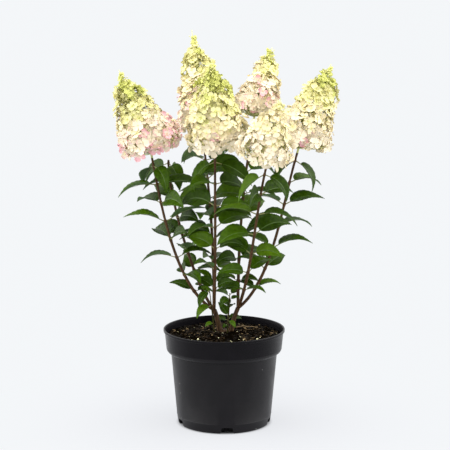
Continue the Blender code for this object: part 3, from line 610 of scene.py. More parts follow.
def pot_wall():
    """The pot's outer and inner outlines as (radius, height), each from the top down."""
    collar_top = POT_HEIGHT - BEAD_HEIGHT
    collar_foot = POT_HEIGHT - COLLAR_HEIGHT
    outer = [
        (RIM_RADIUS - BEAD_ROUNDING, POT_HEIGHT), (RIM_RADIUS, POT_HEIGHT - BEAD_ROUNDING),
        (RIM_RADIUS, collar_top + BEAD_ROUNDING), (COLLAR_TOP_RADIUS, collar_top),
        *rounding(COLLAR_FOOT_RADIUS, BODY_TOP_RADIUS, collar_foot),
        (BODY_FOOT_RADIUS, 2 * FOOT_ROUNDING),
        (BODY_FOOT_RADIUS - FOOT_CHAMFER * FOOT_ROUNDING,
         (1.0 - FOOT_CHAMFER) * FOOT_ROUNDING),
        (BODY_FOOT_RADIUS - FOOT_ROUNDING, 0.0),
    ]
    inner = [
        (RIM_RADIUS - BEAD_ROUNDING - WALL, POT_HEIGHT), (COLLAR_TOP_RADIUS - WALL, collar_top),
        (COLLAR_FOOT_RADIUS - WALL, collar_foot + WALL),
        (BODY_TOP_RADIUS - WALL, collar_foot - SHOULDER_HEIGHT + WALL),
        (BODY_FOOT_RADIUS - WALL / 2, LEDGE_HEIGHT),
        (BODY_FOOT_RADIUS - FOOT_RING, LEDGE_HEIGHT - LEDGE_FALL),
        (BODY_FOOT_RADIUS - FOOT_RING, FLOOR),
    ]
    return outer, inner


def soft_corners(profile):
    """The profile with each inner corner rounded by a small arc."""
    rounded = [profile[0]]
    for before, corner, after in zip(profile, profile[1:], profile[2:]):
        a, b, c = (Vector((*p, 0.0)) for p in (before, corner, after))
        reach = min(CORNER_RADIUS, 0.45 * (a - b).length, 0.45 * (c - b).length)
        start = b + (a - b).normalized() * reach
        end = b + (c - b).normalized() * reach
        for i in range(CORNER_STEPS + 1):
            t = i / CORNER_STEPS
            rounded.append(start.lerp(b, t).lerp(b.lerp(end, t), t).xy[:])
    return rounded + [profile[-1]]


def moulded_line(bm):
    """A thin raised line round the pot's foot, which stops short of each recess."""
    pitch = 360.0 / RECESSES
    for point in bm.verts:
        if abs(point.co.z - LINE_HEIGHT) > 0.0001 or point.co.xy.length < BODY_FOOT_RADIUS:
            continue
        angle = math.degrees(math.atan2(point.co.y, point.co.x)) - RECESS_TURN
        if abs((angle + pitch / 2) % pitch - pitch / 2) > LINE_GAP:
            point.co.xy *= 1.0 + LINE_RELIEF / point.co.xy.length


def block(bm, size, foot_width, place, turn):
    """A box whose foot may be wider than its top, turned round Z at the origin."""
    made = bmesh.ops.create_cube(bm, size=1.0)["verts"]
    for point in made:
        width = foot_width if point.co.z < 0 else size[1]
        point.co = Vector((point.co.x * size[0], point.co.y * width, point.co.z * size[2]))
    bmesh.ops.translate(bm, vec=place, verts=made)
    bmesh.ops.rotate(bm, cent=(0, 0, 0), matrix=Matrix.Rotation(turn, 3, "Z"), verts=made)


def cut_away(piece, cutter):
    """Cuts a closed mesh out of a piece, and applies the cut."""
    bmesh.ops.recalc_face_normals(cutter, faces=cutter.faces)
    tool = placed("cutter", mesh_from("cutter", cutter))
    cut = piece.modifiers.new("cut", "BOOLEAN")
    cut.operation = "DIFFERENCE"
    cut.object = tool
    cut.solver = "EXACT"
    bpy.context.view_layer.update()
    depsgraph = bpy.context.evaluated_depsgraph_get()
    result = bpy.data.meshes.new_from_object(piece.evaluated_get(depsgraph))
    piece.modifiers.clear()
    piece.data = result
    bpy.data.objects.remove(tool, do_unlink=True)


def make_pot():
    """The moulded wall with its line, then the recesses and drain holes cut out of it."""
    outer, inner = pot_wall()
    profile = soft_corners([(0.0, FLOOR)] + inner[::-1] + outer + [(0.0, 0.0)])
    below = next(i for i, (r, z) in enumerate(profile)
                 if z < LINE_HEIGHT and r > BODY_FOOT_RADIUS - WALL / 4)
    slope = ((BODY_TOP_RADIUS - BODY_FOOT_RADIUS)
             / (POT_HEIGHT - COLLAR_HEIGHT - SHOULDER_HEIGHT))
    line = [(BODY_FOOT_RADIUS + slope * (LINE_HEIGHT + step), LINE_HEIGHT + step)
            for step in (LINE_WIDTH, 0.0, -LINE_WIDTH)]
    bm = bmesh.new()
    turned(bm, profile[:below] + line + profile[below:], POT_STEPS)
    moulded_line(bm)
    for face in bm.faces:
        middle = face.calc_center_median()
        inwards = face.normal.dot(Vector((middle.x, middle.y, 0.0))) < 0.0
        # inner faces below the rim take the darker copy of the plastic, as painted shade
        if inwards and middle.z < INSIDE_TOP:
            face.material_index = SHADED_INSIDE_SLOT
        elif middle.z > POT_HEIGHT - COLLAR_HEIGHT:
            face.material_index = COLLAR_SLOT
        else:
            face.material_index = BODY_SLOT
    pot = finished("pot_shell", bm, ("pot_plastic", "pot_collar", "pot_inside"),
                   "pot_plastic", "pot")
    recess_back = BODY_FOOT_RADIUS - RECESS_DEPTH
    recess_size = (RECESS_DEPTH + OVERCUT, RECESS_TOP_WIDTH, RECESS_HEIGHT + OVERCUT)
    recess_place = (recess_back + recess_size[0] / 2, 0.0, (RECESS_HEIGHT - OVERCUT) / 2)
    drain_size = (FOOT_RING - RECESS_DEPTH + 2 * OVERCUT, DRAIN_WIDTH, DRAIN_HEIGHT)
    drain_place = (recess_back + OVERCUT - drain_size[0] / 2, 0.0,
                   FLOOR + DRAIN_LIFT + DRAIN_HEIGHT / 2)
    recesses, drains = bmesh.new(), bmesh.new()
    for i in range(RECESSES):
        turn = math.radians(RECESS_TURN + 360.0 * i / RECESSES)
        block(recesses, recess_size, RECESS_FOOT_WIDTH, recess_place, turn)
        block(drains, drain_size, DRAIN_WIDTH, drain_place, turn)
    cut_away(pot, recesses)
    cut_away(pot, drains)
    pot.data.set_sharp_from_angle(angle=CREASE)


# ------------------------------------------------------------------ soil

SOIL_STEPS = 110
SOIL_RINGS = 46
SOIL_RADIUS = 0.1107    # where it meets the pot's wall
SOIL_LUMPS = ((90.0, 0.0016), (260.0, 0.0011))      # lumps to a metre, and their height
SOIL_SMOOTH = 0.010     # width of the edge in which the lumps fade
LITTER_RING = (0.012, 0.107)        # distance from the middle in which litter lies
FIBRE_EDGE = 0.106
CHIPS = 560
CHIP_LENGTHS = (0.0016, 0.0058)
CHIP_TONES = (4, 7, 0.6)            # how often a chip is brown, dark or tan
GRAINS = 34
GRAIN_SIZES = (0.0008, 0.0016)
BIG_GRAINS = ((-0.049, -0.052, 0.0030), (0.0625, -0.045, 0.0029))     # place and size
FIBRES = 150
FIBRE_LENGTHS = (0.006, 0.020)
FIBRE_RADII = (0.00025, 0.00055)
FIBRE_LIFTS = (0.0, 0.0022)
TWIG_POINTS = 9


def soil_height(radius):
    """The soil's level at some distance from the middle, before its crumbs."""
    rows = ((0.0, GROUND), *SOIL_SLOPE, (SOIL_RADIUS, SOIL_EDGE))
    for (r0, z0), (r1, z1) in zip(rows, rows[1:]):
        if radius <= r1:
            return z0 + (z1 - z0) * (radius - r0) / (r1 - r0)
    return SOIL_EDGE


def make_soil():
    """The soil's crumbly top and plain sides. Gives the search tree of its surface."""
    edge = SOIL_RADIUS - GAP
    radii = [edge * i / SOIL_RINGS for i in range(SOIL_RINGS + 1)]
    top = [(radius, soil_height(radius)) for radius in radii]
    side = [(r - GAP, z + GAP) for r, z in pot_wall()[1][2:]]
    bm = bmesh.new()
    turned(bm, top + side + [(0.0, FLOOR + GAP)], SOIL_STEPS)
    for point in bm.verts:
        radius = point.co.xy.length
        if point.co.z > SOIL_EDGE - 0.001 and radius <= edge - 0.001:
            lumps = sum(noise.noise(point.co * scale) * rise for scale, rise in SOIL_LUMPS)
            point.co.z += lumps * min(1.0, (edge - radius) / SOIL_SMOOTH)
    tree = tree_of(bm, 0.0)
    finished("soil_top", bm, ("soil_crumbs",), "soil", "soil")
    return tree


def on_soil(tree, x, y, lift):
    """A point that lies this far above the soil's surface."""
    hit = tree.ray_cast(Vector((x, y, 0.25)), Vector((0.0, 0.0, -1.0)))
    return Vector((x, y, (hit[0].z if hit[0] else SOIL_EDGE) + lift))


def random_place(rng):
    """An even random place on the soil's disc."""
    inner, outer = LITTER_RING
    radius = math.sqrt(rng.uniform(inner ** 2, outer ** 2))
    angle = rng.uniform(0.0, 2.0 * math.pi)
    return radius * math.cos(angle), radius * math.sin(angle)


def add_fibre(bm, rng, tree):
    """One thin crooked fibre of five points that lies on the soil."""
    x, y = random_place(rng)
    angle, length = rng.uniform(0, FULL_TURN), rng.uniform(*FIBRE_LENGTHS)
    path = []
    for i in range(5):
        along = length * i / 4
        px = x + along * math.cos(angle) + 0.15 * length * math.sin(3.0 * i + angle)
        py = y + along * math.sin(angle)
        inwards = min(1.0, FIBRE_EDGE / math.hypot(px, py))
        path.append(on_soil(tree, px * inwards, py * inwards, rng.uniform(*FIBRE_LIFTS)))
    thick = rng.uniform(*FIBRE_RADII)
    sweep(bm, path, lambda i, a: thick, 3, rng.choice((0, 0, 1)))


def make_litter(tree):
    """Bark chips, perlite, fibres and a dry twig on the soil."""
    rng = random.Random(11)
    chips, grains, fibres = bmesh.new(), bmesh.new(), bmesh.new()
    for _ in range(CHIPS):
        x, y = random_place(rng)
        length = rng.uniform(*CHIP_LENGTHS)
        size = (length, length * rng.uniform(0.35, 0.7), length * rng.uniform(0.25, 0.45))
        tone = rng.choices(range(3), CHIP_TONES)[0]
        lump(chips, rng, on_soil(tree, x, y, 0.3 * size[2]), size, tone)
    for _ in range(GRAINS):
        x, y = random_place(rng)
        size = rng.uniform(*GRAIN_SIZES)
        lump(grains, rng, on_soil(tree, x, y, 0.5 * size), (size, size * 0.8, size * 0.7), 0,
             0.15)
    for x, y, size in BIG_GRAINS:
        lump(grains, rng, on_soil(tree, x, y, 0.4 * size), (size, size * 0.8, size * 0.75), 0,
             0.10)
    for _ in range(FIBRES):
        add_fibre(fibres, rng, tree)
    twig = []
    for i in range(TWIG_POINTS):
        t = i / (TWIG_POINTS - 1)
        lift = 0.002 + 0.005 * t + 0.001 * math.sin(5.0 * t)
        twig.append(on_soil(tree, 0.020 + 0.045 * t, 0.020 + 0.010 * t, lift))
    sweep(fibres, twig, lambda i, a: 0.0011 - 0.00005 * i, 6, 1)
    finished("bark_chips", chips, ("chip_brown", "chip_dark", "chip_tan"), "soil")
    finished("perlite", grains, ("perlite_grain",), "soil")
    finished("fibres", fibres, ("fibre_dark", "fibre_dry"), "soil")


# ------------------------------------------------------------------ bark

LIMB_STEP = 0.0024
LIMB_SIDES = 14
STEM_POINTS = 26
STEM_SIDES = 22
FLARE_POWER = 4         # how fast the stems' flare dies away above the ground
STEM_DEPTH = 0.0030     # how far the stems reach into the soil
BASAL_STEPS = 12
BASAL_SIDES = 8
BASAL_SHARE = 0.75      # a basal stem is drawn a little thinner than its solid
BASAL_DEPTH = 0.002
CROWN_STEPS = 26
CROWN_KNOBS = (160.0, 0.12)         # knobs to a metre, and their share of the radius
NODE_SWELL = 0.28       # share by which a cane swells at each pair of leaves
NODE_WIDTH = 0.0030
RING_DEPTH, RING_WIDTH = 0.14, 0.0016       # of the narrow ring above that swelling
RING_RISE = 0.0050
RELIEF_WAVES = ((1.6, 40.0, 0.10), (3.0, 260.0, 0.05))      # round, along, height
CANE_SLOT, STEM_SLOT, BASAL_SLOT = range(3)


def bark_relief(base, seed, swells=()):
    """Radii with swellings at the nodes, ridges along the stem and small bumps."""
    def radius_at(number, angle):
        run, radius = base[number]
        grown = 1.0
        for node in swells:
            grown += NODE_SWELL * math.exp(-((run - node) / NODE_WIDTH) ** 2)
            grown -= RING_DEPTH * math.exp(-((run - node - RING_RISE) / RING_WIDTH) ** 2)
        for around, along, height in RELIEF_WAVES:
            grown += height * noise.noise(Vector((
                math.cos(angle) * around, math.sin(angle) * around, run * along + seed)))
        return radius * grown
    return radius_at


def add_crown(bm):
    """The knobbly crown from which both stems rise."""
    middle = (LEFT_FOOT + RIGHT_FOOT) / 2
    crown = bmesh.new()
    top, low = CROWN_HEIGHT / 2, -BASAL_DEPTH
    knobs, relief = CROWN_KNOBS
    turned(crown, [(0.0, top), (CROWN_RADIUS / 2, top), (CROWN_RADIUS * 0.75, top / 2),
                   (CROWN_RADIUS, low), (0.0, low)], CROWN_STEPS)
    for point in crown.verts:
        point.co *= 1.0 + relief * noise.noise(point.co * knobs)
        point.co += Vector((middle.x, middle.y, GROUND))
    mesh = mesh_from("crown", crown)
    add(bm, mesh, STEM_SLOT)
    bpy.data.meshes.remove(mesh)


def make_limbs():
    """The trunk's two stems, all the canes up to their tips, and the basal stems."""
    bm = bmesh.new()
    for cane in CANES:
        last = math.ceil(cane.length / LIMB_STEP)
        runs = [cane.length * i / last for i in range(last + 1)]
        base = [(run, cane.radius(run)) for run in runs]
        sweep(bm, [cane.at(run) for run in runs],
              bark_relief(base, 7.0 * cane.number, cane.nodes()), LIMB_SIDES, CANE_SLOT)
    for number, (foot, fork, radius, ground_radius) in enumerate(STEMS):
        path, base = [], []
        for i in range(STEM_POINTS):
            share = i / (STEM_POINTS - 1)
            bend = Vector((0.0, 0.0, STEM_BEND * math.sin(math.pi * share)))
            path.append(foot.lerp(fork, share) + bend)
            swell = (ground_radius - radius) * (1.0 - share) ** FLARE_POWER
            base.append((share * (fork - foot).length, radius + swell))
        path[0].z = GROUND - STEM_DEPTH
        sweep(bm, path, bark_relief(base, 90.0 + number), STEM_SIDES, STEM_SLOT)
    for _, foot, azimuth, lean, length, _ in BASAL_SHOOTS:
        start = Vector((*foot, GROUND - BASAL_DEPTH))
        path, base = [], []
        for i in range(BASAL_STEPS + 1):
            run = length * i / BASAL_STEPS
            path.append(start + leaning(azimuth, lean) * run)
            taper = (BASAL_RADII[-1] - BASAL_RADII[0]) * i / BASAL_STEPS
            base.append((run, (BASAL_RADII[0] + taper) * BASAL_SHARE))
        sweep(bm, path, bark_relief(base, 120.0), BASAL_SIDES, BASAL_SLOT)
    add_crown(bm)
    finished("limbs", bm, ("cane_bark", "old_bark", "young_stem"), "bark",
             "trunk", *[f"cane_{cane.number}" for cane in CANES])


# ------------------------------------------------------------------ leaves

ROOM_STATIONS = (0.0, PETIOLE_SHARE, 0.30, 0.52, 0.78, 1.0)
ROOM_HALF_WIDTHS = (None, None, 0.92, 0.95, 0.50, 0.06)
MIDRIB_STEPS = 96
LEAF_ROWS = 40
LEAF_COLUMNS = 10
COLUMN_PLACES = (-1.0, -0.74, -0.50, -0.26, -0.05, 0.0, 0.05, 0.26, 0.50, 0.74, 1.0)
RIB_REACH = 0.19        # faces whose middle is nearer to the midrib than this are the rib's
BLADE_SHOULDER, BLADE_TAPER = 0.58, 1.35    # how round the blade's foot and tip are
BLADE_END = 0.02
BLADE_WIDTHS = (0.74, 1.02)         # share of the solid's width
BLADE_FOLDS = (0.8, 1.5)            # and of its fold
BLADE_WAVES = (0.03, 0.08)
VEINS = 8
VEIN_SLANT = 1.1
VEIN_DEPTH = 0.0010
RIB_DEPTH = 0.0004
VEIN_FADE = 0.008       # half width under which the veins fade
TOOTH = 0.0010
TOOTH_LEAN = 0.8        # how far a tooth points to the tip
RUFFLES, RUFFLE_SHIFT = 9.0, 1.2    # of the edge, and how far its two sides are out of step
FOLD_POWER = 1.25
SKIN = 0.0005           # the blade's thickness
TONE_CHOICES = (5, 4, 2)            # how often a leaf is deep, mid or fresh green
UPPER_MATERIALS = ("leaf_deep", "leaf_mid", "leaf_fresh", "leaf_rib")
UNDER_MATERIALS = ("leaf_underside",) * 3 + ("rib_underside",)
RIB_SLOT = 3
PETIOLE_RADII = ((0.0, 0.0013), (0.05, 0.0011), (0.10, 0.0010), (PETIOLE_SHARE, 0.0009),
                 (0.24, 0.0007), (0.40, 0.0005), (0.60, 0.0002))      # by share of the leaf
PETIOLE_SIDES = 6
PETIOLE_DROP, RIB_DROP = 0.0008, 0.0012     # below the leaf's middle line

Leaf = namedtuple("Leaf", "cane seed root azimuth rise bend length roll")


def midrib(leaf, stations):
    """Place and heading at each station: the petiole is straight, and the blade arcs."""
    ahead = Vector((math.cos(leaf.azimuth), math.sin(leaf.azimuth), 0.0))
    up = Vector((0.0, 0.0, 1.0))

    def heading(share):
        blade = max(0.0, share - PETIOLE_SHARE) / (1.0 - PETIOLE_SHARE)
        elevation = leaf.rise - leaf.bend * blade
        return ahead * math.cos(elevation) + up * math.sin(elevation)

    point, reached, places = leaf.root.copy(), 0, []
    for share in stations:
        while reached < round(share * MIDRIB_STEPS):
            step = heading((reached + 0.5) / MIDRIB_STEPS)
            point = point + step * (leaf.length / MIDRIB_STEPS)
            reached += 1
        places.append((point.copy(), heading(share)))
    return places


def leaf_sides(leaf, ahead):
    """A leaf's directions across and upwards, where its midrib heads ahead."""
    across = Vector((-math.sin(leaf.azimuth), math.cos(leaf.azimuth), 0.0))
    side = Matrix.Rotation(leaf.roll, 3, ahead) @ across
    return side, ahead.cross(side)


def room_shape(leaf):
    """The leaf's plain four-sided form, which is tried for room."""
    bm = bmesh.new()
    points, _ = add(bm, tube_pattern(4, len(ROOM_STATIONS)))
    places = midrib(leaf, ROOM_STATIONS)
    for point in points:
        station = round(point.co.z * (len(ROOM_STATIONS) - 1))
        centre, ahead = places[station]
        side, up = leaf_sides(leaf, ahead)
        if ROOM_HALF_WIDTHS[station] is None:
            half, thick, fold = PETIOLE_RADIUS, PETIOLE_RADIUS, 0.0
        else:
            half = ROOM_HALF_WIDTHS[station] * LEAF_WIDTH * leaf.length / 2
            thick, fold = LEAF_THICKNESS / 2, LEAF_FOLD * half
        x, y = point.co.x, point.co.y
        point.co = centre + side * (x * half) + up * (y * thick + abs(x) * fold)
    return bm


def has_room(bm, tree, root, reach, pieces, own):
    """True if a leaf touches none of the pieces, nor its own cane away from its root."""
    if any(tree.overlap(piece) for piece in pieces):
        return False
    bm.faces.ensure_lookup_table()
    return all((bm.faces[face].calc_center_median() - root).length <= reach
               for face, _ in tree.overlap(own))


def facing_roll(root, azimuth):
    """The roll that turns a leaf's face away from the middle of the crown."""
    outward = Vector(((root - CROWN_MIDDLE).x, (root - CROWN_MIDDLE).y, 0.0)).normalized()
    across = Vector((-math.sin(azimuth), math.cos(azimuth), 0.0))
    return -math.radians(LEAF_FACING) * outward.dot(across)


def leaf_values(seed, pair, side, pairs):
    """Length, rise, bend, roll and twist of one leaf, by its place on the cane."""
    rng = random.Random(10000 * seed + 10 * pair + side)
    height = 1.0 - pair / (pairs - 1)
    growth = min(1.0, LEAF_GROWTH[0] * height) ** LEAF_GROWTH[1]
    length = LEAF_SMALL + (LEAF_LARGE - LEAF_SMALL) * growth
    rise, bend = LEAF_RISE - LEAF_RISE_FALL * height * height, LEAF_BEND
    if pair == 0:
        length *= TOP_PAIR[0]
        rise, bend = TOP_PAIR[1:]
    length *= rng.uniform(*LENGTH_SPREAD)
    rise += rng.uniform(*RISE_SPREAD)
    bend += rng.uniform(*BEND_SPREAD)
    angles = rise, bend, rng.uniform(*ROLL_SPREAD), rng.uniform(*TWIST_SPREAD)
    return length, *map(math.radians, angles)


def grow_leaf(first, pieces, own):
    """Turns and lifts a leaf until it has room; None if it finds none."""
    reach = ROOT_REACH * first.length
    for attempt in range(LEAF_TRIES):
        step = (attempt + 1) // 2 * (1 if attempt % 2 else -1)
        leaf = first._replace(azimuth=first.azimuth + math.radians(LEAF_TURN * step),
                              rise=first.rise + math.radians(LEAF_LIFT * (attempt % 3)),
                              length=first.length * (1.0 - LEAF_SHRINK * attempt))
        bm = room_shape(leaf)
        tree = tree_of(bm)
        fits = has_room(bm, tree, leaf.root, reach, pieces, own)
        bm.free()
        if fits:
            pieces.append(tree)
            return leaf
    return None


def grow_cane_leaves(cane, pieces, own):
    """The pairs of one cane, from the top down."""
    leaves = []
    for pair, run in enumerate(cane.nodes()):
        swing = cane.swing if pair % 2 else -cane.swing
        for side in (0, 1):
            azimuth = math.radians(cane.turn + swing + 180.0 * side)
            aside = leaning(math.degrees(azimuth), 90.0)
            root = cane.at(run) + ROOT_SEAT * cane.radius(run) * aside
            length, rise, bend, roll, twist = leaf_values(cane.seed, pair, side, cane.pairs)
            first = Leaf(cane.number, 1000 * cane.number + 10 * pair + side, root,
                         azimuth + twist, rise, bend, length,
                         roll + facing_roll(root, azimuth))
            leaves.append(grow_leaf(first, pieces, own))
    return leaves


def grow_basal_leaves(number, shoot, pieces):
    """The leaves of one basal shoot, in the order of its table."""
    _, foot, azimuth, lean, length, rows = shoot
    start, heading = Vector((*foot, GROUND + GAP)), leaning(azimuth, lean)
    own = limb_tree([start + heading * (length * i / 3) for i in range(4)], BASAL_RADII)
    leaves = []
    for row, (share, turn, rise, bend, size) in enumerate(rows):
        root = start + heading * (length * share)
        root += ROOT_SEAT * BASAL_RADII[-1] * leaning(turn, 90.0)
        turn, rise, bend = map(math.radians, (turn, rise, bend))
        first = Leaf(0, 9000 + 100 * number + row, root, turn, rise, bend, size,
                     facing_roll(root, turn))
        leaves.append(grow_leaf(first, pieces, own))
    pieces.append(own)
    return leaves


def grow_leaves():
    """Every leaf of the plant, cane by cane, then the basal shoots."""
    limbs = {cane: limb_tree(*cane.stretch(LIMB_START, cane.length, CANE_STEP))
             for cane in CANES}
    pieces = [node_tree_of("trunk")]
    pieces += [node_tree_of(f"blossom_{cane.number}") for cane in CANES if cane.tip]
    leaves = []
    for cane in CANES:
        near = pieces + [tree for other, tree in limbs.items() if other is not cane]
        before = len(near)
        leaves += grow_cane_leaves(cane, near, limbs[cane])
        pieces += near[before:]
    pieces += limbs.values()
    for number, shoot in enumerate(BASAL_SHOOTS):
        leaves += grow_basal_leaves(number, shoot, pieces)
    return [leaf for leaf in leaves if leaf]


def blade_width(share):
    """The blade's half width at a share of its length, against its widest."""
    widest = BLADE_SHOULDER / (BLADE_SHOULDER + BLADE_TAPER)
    if share <= 0.0 or share >= 1.0:
        return BLADE_END
    return max(BLADE_END, (share / widest) ** BLADE_SHOULDER
               * ((1.0 - share) / (1.0 - widest)) ** BLADE_TAPER)


def make_blade(bm, leaf):
    """One blade: toothed edge, sunken veins, folded at the midrib and a little wavy."""
    rng = random.Random(leaf.seed)
    stations = [PETIOLE_SHARE + (1.0 - PETIOLE_SHARE) * i / LEAF_ROWS
                for i in range(LEAF_ROWS + 1)]
    rows = [(centre, ahead, *leaf_sides(leaf, ahead))
            for centre, ahead in midrib(leaf, stations)]
    tone = rng.choices(range(RIB_SLOT), TONE_CHOICES)[0]
    points, faces = add(bm, sheet_pattern(LEAF_COLUMNS, LEAF_ROWS), tone)
    widest = LEAF_WIDTH * leaf.length / 2 * rng.uniform(*BLADE_WIDTHS)
    phase, wave = rng.uniform(0, FULL_TURN), rng.uniform(*BLADE_WAVES)
    fold = LEAF_FOLD * rng.uniform(*BLADE_FOLDS)
    for face in faces:
        if abs(face.calc_center_median().y) < RIB_REACH:
            face.material_index = RIB_SLOT
    for point in points:
        row = round(point.co.x * LEAF_ROWS)
        across = COLUMN_PLACES[round((point.co.y + 1.0) / 2.0 * LEAF_COLUMNS)]
        out, share = abs(across), row / LEAF_ROWS
        centre, ahead, side, up = rows[row]
        half = widest * blade_width(share)
        at_edge = out == 1.0 and 1 < row < LEAF_ROWS - 1
        tooth = TOOTH * (row % 2) if at_edge else 0.0
        vein = abs((share * VEINS - VEIN_SLANT * out) % 1.0 - 0.5) * 2.0
        sunk = VEIN_DEPTH * vein ** 3 * min(1.0, half / VEIN_FADE) * min(1.0, 4.0 * out)
        shift = RUFFLE_SHIFT if across > 0 else 0.0
        ripple = wave * half * math.sin(RUFFLES * share + phase + shift)
        lift = fold * half * out ** FOLD_POWER + ripple * out * out - sunk
        if across == 0.0:
            lift -= RIB_DEPTH
        point.co = (centre + side * across * (half + tooth) + up * lift
                    + ahead * tooth * TOOTH_LEAN)


def make_leaves(leaves):
    """The blades of each cane as one piece, which stands for that cane's two masses."""
    for number in range(len(CANES) + 1):
        bm = bmesh.new()
        for leaf in leaves:
            if leaf.cane == number:
                make_blade(bm, leaf)
        bmesh.ops.remove_doubles(bm, verts=bm.verts, dist=1e-6)
        if number:
            name, nodes = f"leaves_{number}", (f"shoot_{number}_upper", f"shoot_{number}_lower")
        else:
            name, nodes = "leaves_basal", [f"basal_{shoot[0]}" for shoot in BASAL_SHOOTS]
        piece = finished(name, bm, UPPER_MATERIALS + UNDER_MATERIALS, "leaf", *nodes)
        thickness = piece.modifiers.new("thickness", "SOLIDIFY")
        thickness.thickness = SKIN
        thickness.offset = -1.0
        thickness.material_offset = len(UPPER_MATERIALS)


def make_petioles(leaves):
    """Leaf stalks, which run on under the blade as its midrib."""
    bm = bmesh.new()
    stations, radii = zip(*PETIOLE_RADII)
    for leaf in leaves:
        path = []
        for (point, ahead), share in zip(midrib(leaf, stations), stations):
            drop = RIB_DROP if share > PETIOLE_SHARE else PETIOLE_DROP
            path.append(point - leaf_sides(leaf, ahead)[1] * drop
                        * min(1.0, share / PETIOLE_SHARE))
        size = 0.4 + 0.6 * leaf.length / LEAF_LARGE
        sweep(bm, path, lambda i, a: radii[i] * size, PETIOLE_SIDES)
    finished("petioles", bm, ("leaf_stalk",), "leaf")


# ------------------------------------------------------------------ blossom

FLORET_SPACING = 0.0144
BUD_SPACING = 0.0165
BUD_INSET = 0.0070      # how much deeper the small buds between the florets lie
BUDS_TOGETHER = 7
BUD_SPREAD = 0.0060
BUD_SIZES = (0.0010, 0.0018)
EYE = 0.0012            # radius of a floret's middle
SEPAL = 0.0125          # from a floret's middle to a petal's tip
SEPAL_SIZES = (0.86, 1.08)
SEPAL_SEAT = 0.50       # how far a floret sits inside the outline, of its petals
FLORET_TILT = 0.52
FLORET_CUPS = (-0.08, 0.26)
FLORET_JITTER = (-0.003, 0.003)     # along the cone's axis
FLORET_SINK = (-0.0036, 0.0058)     # towards the axis
PETAL_LENGTHS = (0.82, 1.10)
PETAL_WIDTHS = (0.40, 0.49)         # half of it, as a share of the length
PETAL_TURN = 0.2
PETAL_CUPS = (-0.20, 0.22)
PETAL_ROLL = 0.34
PETAL_FADE = 0.4        # how often a single petal is a tone paler than its floret
PETAL_ROOT = 0.05       # share of the length from the floret's middle to the petal's start
PETAL_WIDEST = 0.58
PETAL_END = 0.14        # least width, against the widest
PETAL_ARCH = 0.13       # how far the sides rise, and
PETAL_NOTCH = 0.10      # fall back at the tip
PETAL_BEND = 1.6
CLUMP_SIZE = 0.030      # the florets stand out in clumps of this size
CLUMP_RELIEF = 0.0080
GAP_LEVEL = -0.53       # no floret stands where the clumps' noise is lower than this
CONE_AREA = 0.62        # of its skin, against a cylinder's
SPIRE_WAIST = 0.72      # how much slimmer the spire of buds gets towards its tip
SPIRE_SINK = 0.14       # and how much shorter it is than the cone
CLUSTER = 6
CLUSTER_SPREAD, CLUSTER_FALL = 0.0056, 0.0030       # and how much narrower at the tip
HALF_OPEN, HALF_OPEN_FALL = 0.95, 0.90      # share of half-open florets, and its fall
HALF_OPEN_SIZES = (0.0056, 0.0084)
HALF_OPEN_CUP = 0.40
HALF_OPEN_TURN = 60.0   # how far they face away from the cluster's middle
BEAD_SIZES = (0.0022, 0.0033)
TONE_SPREAD = 0.09      # how far a tone strays up or down the cone
PINK_CHOICE = 0.45      # share of pink among pink and blush florets
BRANCH_DROP = 0.22      # how much lower on the axis a floret's stalk starts
BRANCH_RADIUS, BRANCH_TAPER = 0.0009, 0.0002
BRANCH_SIDES = 4
STALK_SIDES, STALK_TAPER = 8, 0.11
LIME, CHARTREUSE, CREAM, IVORY, BLUSH, PINK = range(6)
TONE_NAMES = ("lime", "chartreuse", "cream", "ivory", "blush", "pink")
BASE_TONES = {PINK: (BLUSH, 0.50), BLUSH: (IVORY, 0.55), CREAM: (CHARTREUSE, 0.22),
              CHARTREUSE: (LIME, 0.30)}     # the tone of a petal's base, and its share
PALER = {PINK: BLUSH, BLUSH: IVORY}

# Where each blossom turns from lime to cream to ivory, and how pink its foot is
Tint = namedtuple("Tint", "lime cream ivory pink pink_line")
TINTS = {
    1: Tint(lime=0.76, cream=0.52, ivory=0.32, pink=1.50, pink_line=0.50),
    3: Tint(lime=0.66, cream=0.42, ivory=0.18, pink=0.22, pink_line=0.24),
    4: Tint(lime=0.80, cream=0.56, ivory=0.35, pink=1.20, pink_line=0.50),
    5: Tint(lime=0.82, cream=0.66, ivory=0.45, pink=1.10, pink_line=0.60),
    6: Tint(lime=1.05, cream=0.85, ivory=0.40, pink=0.05, pink_line=0.30),
    7: Tint(lime=0.74, cream=0.52, ivory=0.28, pink=0.18, pink_line=0.25),
}


def cone_share(height):
    """The blossom's radius at a share of its height, as a share of its girth."""
    skirt = min(1.0, CONE_FOOT + CONE_SWELL * height)
    return skirt * CONE_FULLNESS * max(0.0, 1.0 - height) ** CONE_TAPER


def cone_frame(cane):
    """The cone's axis from its foot, and two directions round it that are nearly level."""
    axis = cane.tip - cane.foot
    normal = axis.normalized().lerp(Vector((0.0, 0.0, 1.0)), CONE_SHEAR).normalized()
    turn = normal.to_track_quat("Z", "Y").to_matrix()
    return axis, turn.col[0], turn.col[1]


def petal_tone(tint, share, rng):
    """The colour of one floret by its height on the cone."""
    height = share + rng.uniform(-TONE_SPREAD, TONE_SPREAD)
    if height > tint.lime:
        return LIME
    if height > tint.cream:
        return CHARTREUSE
    pinkness = tint.pink * max(0.0, 1.0 - max(0.0, share) / tint.pink_line)
    if rng.random() < pinkness:
        return PINK if rng.random() < PINK_CHOICE else BLUSH
    return CREAM if height > tint.ivory else IVORY


